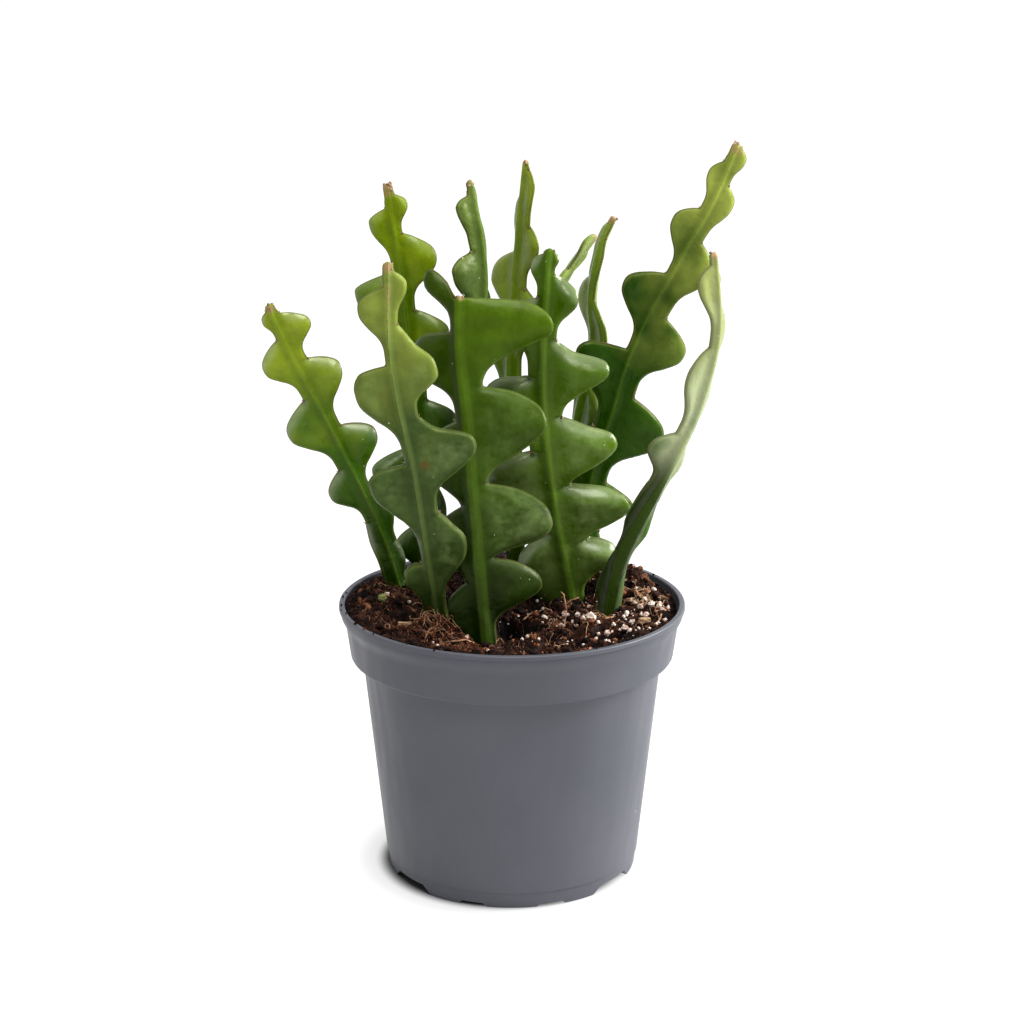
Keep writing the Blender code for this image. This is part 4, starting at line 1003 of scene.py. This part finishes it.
# In front on the right, pale and turned away, so that its edge shows, its lower left wing darkened with
# painted shade.
grow("stem_front_right",
     skin=dict(foot=(46, 86, 4), middle=(164, 172, 134), tip=(142, 148, 84), turn=0.5, low=0.36,
               bloom=(0.4, 0.5), bare=0.36, rim_red=0.35, rib_band=(-0.25, -0.1),
               painted_shade=(0.95, 0.44, 0.9), gloss=0.24, specular=0.15),
     margin=0.8, puff=0.1, dry=5, cork=((65.6, 0, 0.7),),
     route=((16.3, -5.6, 47.2), (18.3, -5.5, 56.5), (21.2, -5.3, 63.2), (25.4, -4.9, 71.6),
            (30, -4.2, 80.6), (33, -4, 90), (34.1, -4, 98), (33.2, -4, 109.6)),
     facing=(10, 15, 35, 50, 50, 50), fold=((-25, -60, -12, -8, -8, -8), (-10, -15, -22, -22, -22, -22)),
     left=((4.5, 3, 11.5, 1.7), (17.5, 2.4, 24.6, 1.8), (30, 5.2, 34, 2.2), (43.5, 4.4, 50, 1.2),
           (61, 3.8, 64, 0.9)),
     right=((4, 2, 9.5, 1.6), (17, 2.7, 22, 1.9), (30, 4, 33.5, 1.5), (41.5, 5.6, 45.5, 1.4),
            (54, 5.6, 57.8, 1.1), (61.5, 2.8, 63.6, 0.9)))


def patchy_material(name, scale, detail, dark, pale, roughness):
    """A dry, fibrous finish that turns in patches from dark to pale, with its roughness."""
    material, tree, shader = new_material(name)
    patches = mask(tree, mottle, Scale=scale, Detail=detail, Low=0.3, High=0.7)
    colour = blend(patches, srgb(*dark), srgb(*pale))
    connect(shader, {"Base Color": colour, "Roughness": patches.span(0, 1, *roughness)})
    return material


# The felt pads and bristles in the notches of all the stems, and the dry scales at their tips.
felt = patchy_material("areole_felt", 1200, 4, (80, 50, 36), (158, 126, 98), (0.75, 0.95))
felt_pads = gather("areole_pads", areole_parts, felt)
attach(felt_pads, "root")
bristle = patchy_material("areole_bristle", 500, 2, (132, 104, 82), (214, 198, 172), (0.5, 0.7))
bristles = gather("areole_bristles", bristle_parts, bristle)
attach(bristles, "root")
scale_skin = patchy_material("dry_tip_scales", 1100, 5, (106, 66, 46), (192, 158, 128), (0.6, 0.85))
tips = gather("dry_tips", scale_parts, scale_skin)
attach(tips, "root")

# ---- Loose pieces on the mix ----
# The larger grains of perlite, chips of composted bark and one tuft of moss that lie on the surface
# where the grower's hand left them.
PERLITE_GRAINS = 12


def box_of(node):
    """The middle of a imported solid's box, and half its size."""
    low, high = (np.array(corner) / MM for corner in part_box(node))
    return (low + high) / 2 - (AXIS_X, 0, 0), (high - low) / 2


for number in range(1, PERLITE_GRAINS + 1):
    middle, half_size = box_of(f"perlite_grain_{number}")
    spots, faces = lump(1, 0.6, 4, number * 5.7)
    spots = spots / np.abs(spots).max(axis=0) * half_size + middle
    grain = mesh_object(f"perlite_grain_{number}_dressed", spots, faces, perlite)
    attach(grain, "root")
    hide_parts(f"perlite_grain_{number}")

BARK_CHIPS = (  # how far each is turned, its length, width and thickness
    (10, 2.1, 1.4, 0.7), (5, 2.6, 0.6, 0.45), (20, 3.4, 1.5, 0.6), (140, 2.8, 1.3, 0.6),
)
BARK_TAPER = 0.4
bark, tree, shader = new_material("composted_bark")
layers = texture(tree, 700, 6, stretch=(1, 4, 4))
colour = colour_ramp(layers, [(0.3, srgb(84, 54, 36)), (0.5, srgb(160, 124, 88)), (0.7, srgb(216, 188, 148))])
connect(shader, {"Base Color": colour, "Roughness": layers.span(0.3, 0.7, 0.9, 0.7),
                 "Normal": layers.bump(0.8, 0.0002)})
for number, (turn, length, width, thickness) in enumerate(BARK_CHIPS, 1):
    middle, _ = box_of(f"bark_chip_{number}")
    bm = bmesh.new()
    bmesh.ops.create_cube(bm, size=1)
    bmesh.ops.subdivide_edges(bm, edges=bm.edges, cuts=9, use_grid_fill=True)
    for v in bm.verts:
        narrow = 1 - BARK_TAPER * (v.co.x + 0.5)
        shape = Vector((v.co.x * length, v.co.y * width * narrow, v.co.z * thickness))
        shape *= 0.94 + 0.16 * noise(shape * 1.9 + Vector((number * 9, 0, 0)))
        shape.z += 0.1 * noise(shape * 2.7)
        v.co = Matrix.Rotation(math.radians(turn), 3, "Z") @ shape + Vector(middle)
    spots = [tuple(v.co) for v in bm.verts]
    faces = [tuple(v.index for v in f.verts) for f in bm.faces]
    bm.free()
    chip = mesh_object(f"bark_chip_{number}_dressed", spots, faces, bark)
    face_out(chip)
    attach(chip, "root")
    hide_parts(f"bark_chip_{number}")

MOSS_STRANDS = 70
moss = patchy_material("dry_moss", 1500, 5, (92, 96, 42), (182, 186, 112), (0.8, 0.95))
middle, _ = box_of("moss_tuft")
spots, faces = lump(0.55, 0.5, 3, 2.2)
parts = [(spots + middle, faces)]
for _ in range(MOSS_STRANDS):
    way = np.array([dice.gauss(0, 1), dice.gauss(0, 1), dice.gauss(0.3, 0.8)])
    way *= 0.8 / np.linalg.norm(way)
    bend = np.array([dice.gauss(0, 0.12) for _ in range(3)])
    parts.append(fibre([middle + way * 0.3, middle + way * 0.7 + bend, middle + way], 0.09, 5))
moss_piece = gather("moss_tuft_dressed", parts, moss)
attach(moss_piece, "root")
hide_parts("moss_tuft")

# ---- Floor, light and camera ----
# A white table under soft studio light from above, with a brighter side on the right.  Places are in
# metres from here on.
# A painted contact shadow: the floor's own glow is dimmed near and under the pot.
PAINTED_SHADOW_FADES = (  # the floor brightens from one distance to the next, from none to how much
    (0.0203, 0.0232, 0, 0.74), (0.0225, 0.0285, 0, 0.24),
)


def looked_at(tree):
    """1 for a ray from the camera or by way of a gloss or clear surface, 0 for light on other things."""
    camera_ray = put(tree, "LightPath", {}, "Is Camera Ray")
    others = camera_ray.beside("Is Glossy Ray").calc("MAXIMUM", camera_ray.beside("Is Transmission Ray"))
    return camera_ray.calc("MAXIMUM", others)


paper, tree, shader = new_material("white_table")
tree.nodes.remove(shader)
seen = looked_at(tree)
matt = put(tree, "BsdfDiffuse", {"Color": blend(seen, (0.8, 0.8, 0.79), (0.2, 0.2, 0.2))})
position = put(tree, "NewGeometry", {}, "Position")
from_middle = put(tree, "VectorMath", {0: position}, "Value", operation="LENGTH")
# The glow fades out towards the pot, which paints its contact shadow.
near, far = (from_middle.span(*fade) for fade in PAINTED_SHADOW_FADES)
glow = put(tree, "Emission", {"Color": (1, 1, 1, 1), "Strength": seen * (near + far)})
connect(tree.nodes["Material Output"], {"Surface": put(tree, "AddShader", {0: matt, 1: glow})})
table_mesh = bpy.data.meshes.new("table")
table_mesh.from_pydata([(-3, -3, 0), (3, -3, 0), (3, 3, 0), (-3, 3, 0)], [], [(0, 1, 2, 3)])
table_mesh.materials.append(paper)
table = bpy.data.objects.new("table", table_mesh)
bpy.context.scene.collection.objects.link(table)

world = bpy.data.worlds.new("studio")
bpy.context.scene.world = world
world.use_nodes = True
strength = looked_at(world.node_tree) * 0.8 + 0.2
connect(world.node_tree.nodes["Background"], {"Color": (1, 1, 1, 1), "Strength": strength})


def softbox(name, place, aim, size, watts):
    """A square lamp that faces a point."""
    lamp = bpy.data.lights.new(name, "AREA")
    lamp.size = size
    lamp.energy = watts
    made = bpy.data.objects.new(name, lamp)
    made.location = place
    made.rotation_euler = (Vector(aim) - Vector(place)).to_track_quat("-Z", "Y").to_euler()
    bpy.context.scene.collection.objects.link(made)


softbox("top_softbox", (0.02, -0.3, 0.66), (0, 0, 0.06), 0.34, 3.4)
softbox("right_softbox", (0.57, 0.09, 0.36), (0, 0, 0.05), 0.3, 8.0)

camera_data = bpy.data.cameras.new("camera")
camera_data.sensor_width = 36
camera_data.lens = 80.82
camera = bpy.data.objects.new("camera", camera_data)
camera.location = (0.0015, -0.38044, 0.17126)
camera.rotation_euler = (math.radians(90 - 15.74), 0, 0)
bpy.context.scene.collection.objects.link(camera)
bpy.context.scene.camera = camera
bpy.context.scene.view_settings.view_transform = "Standard"
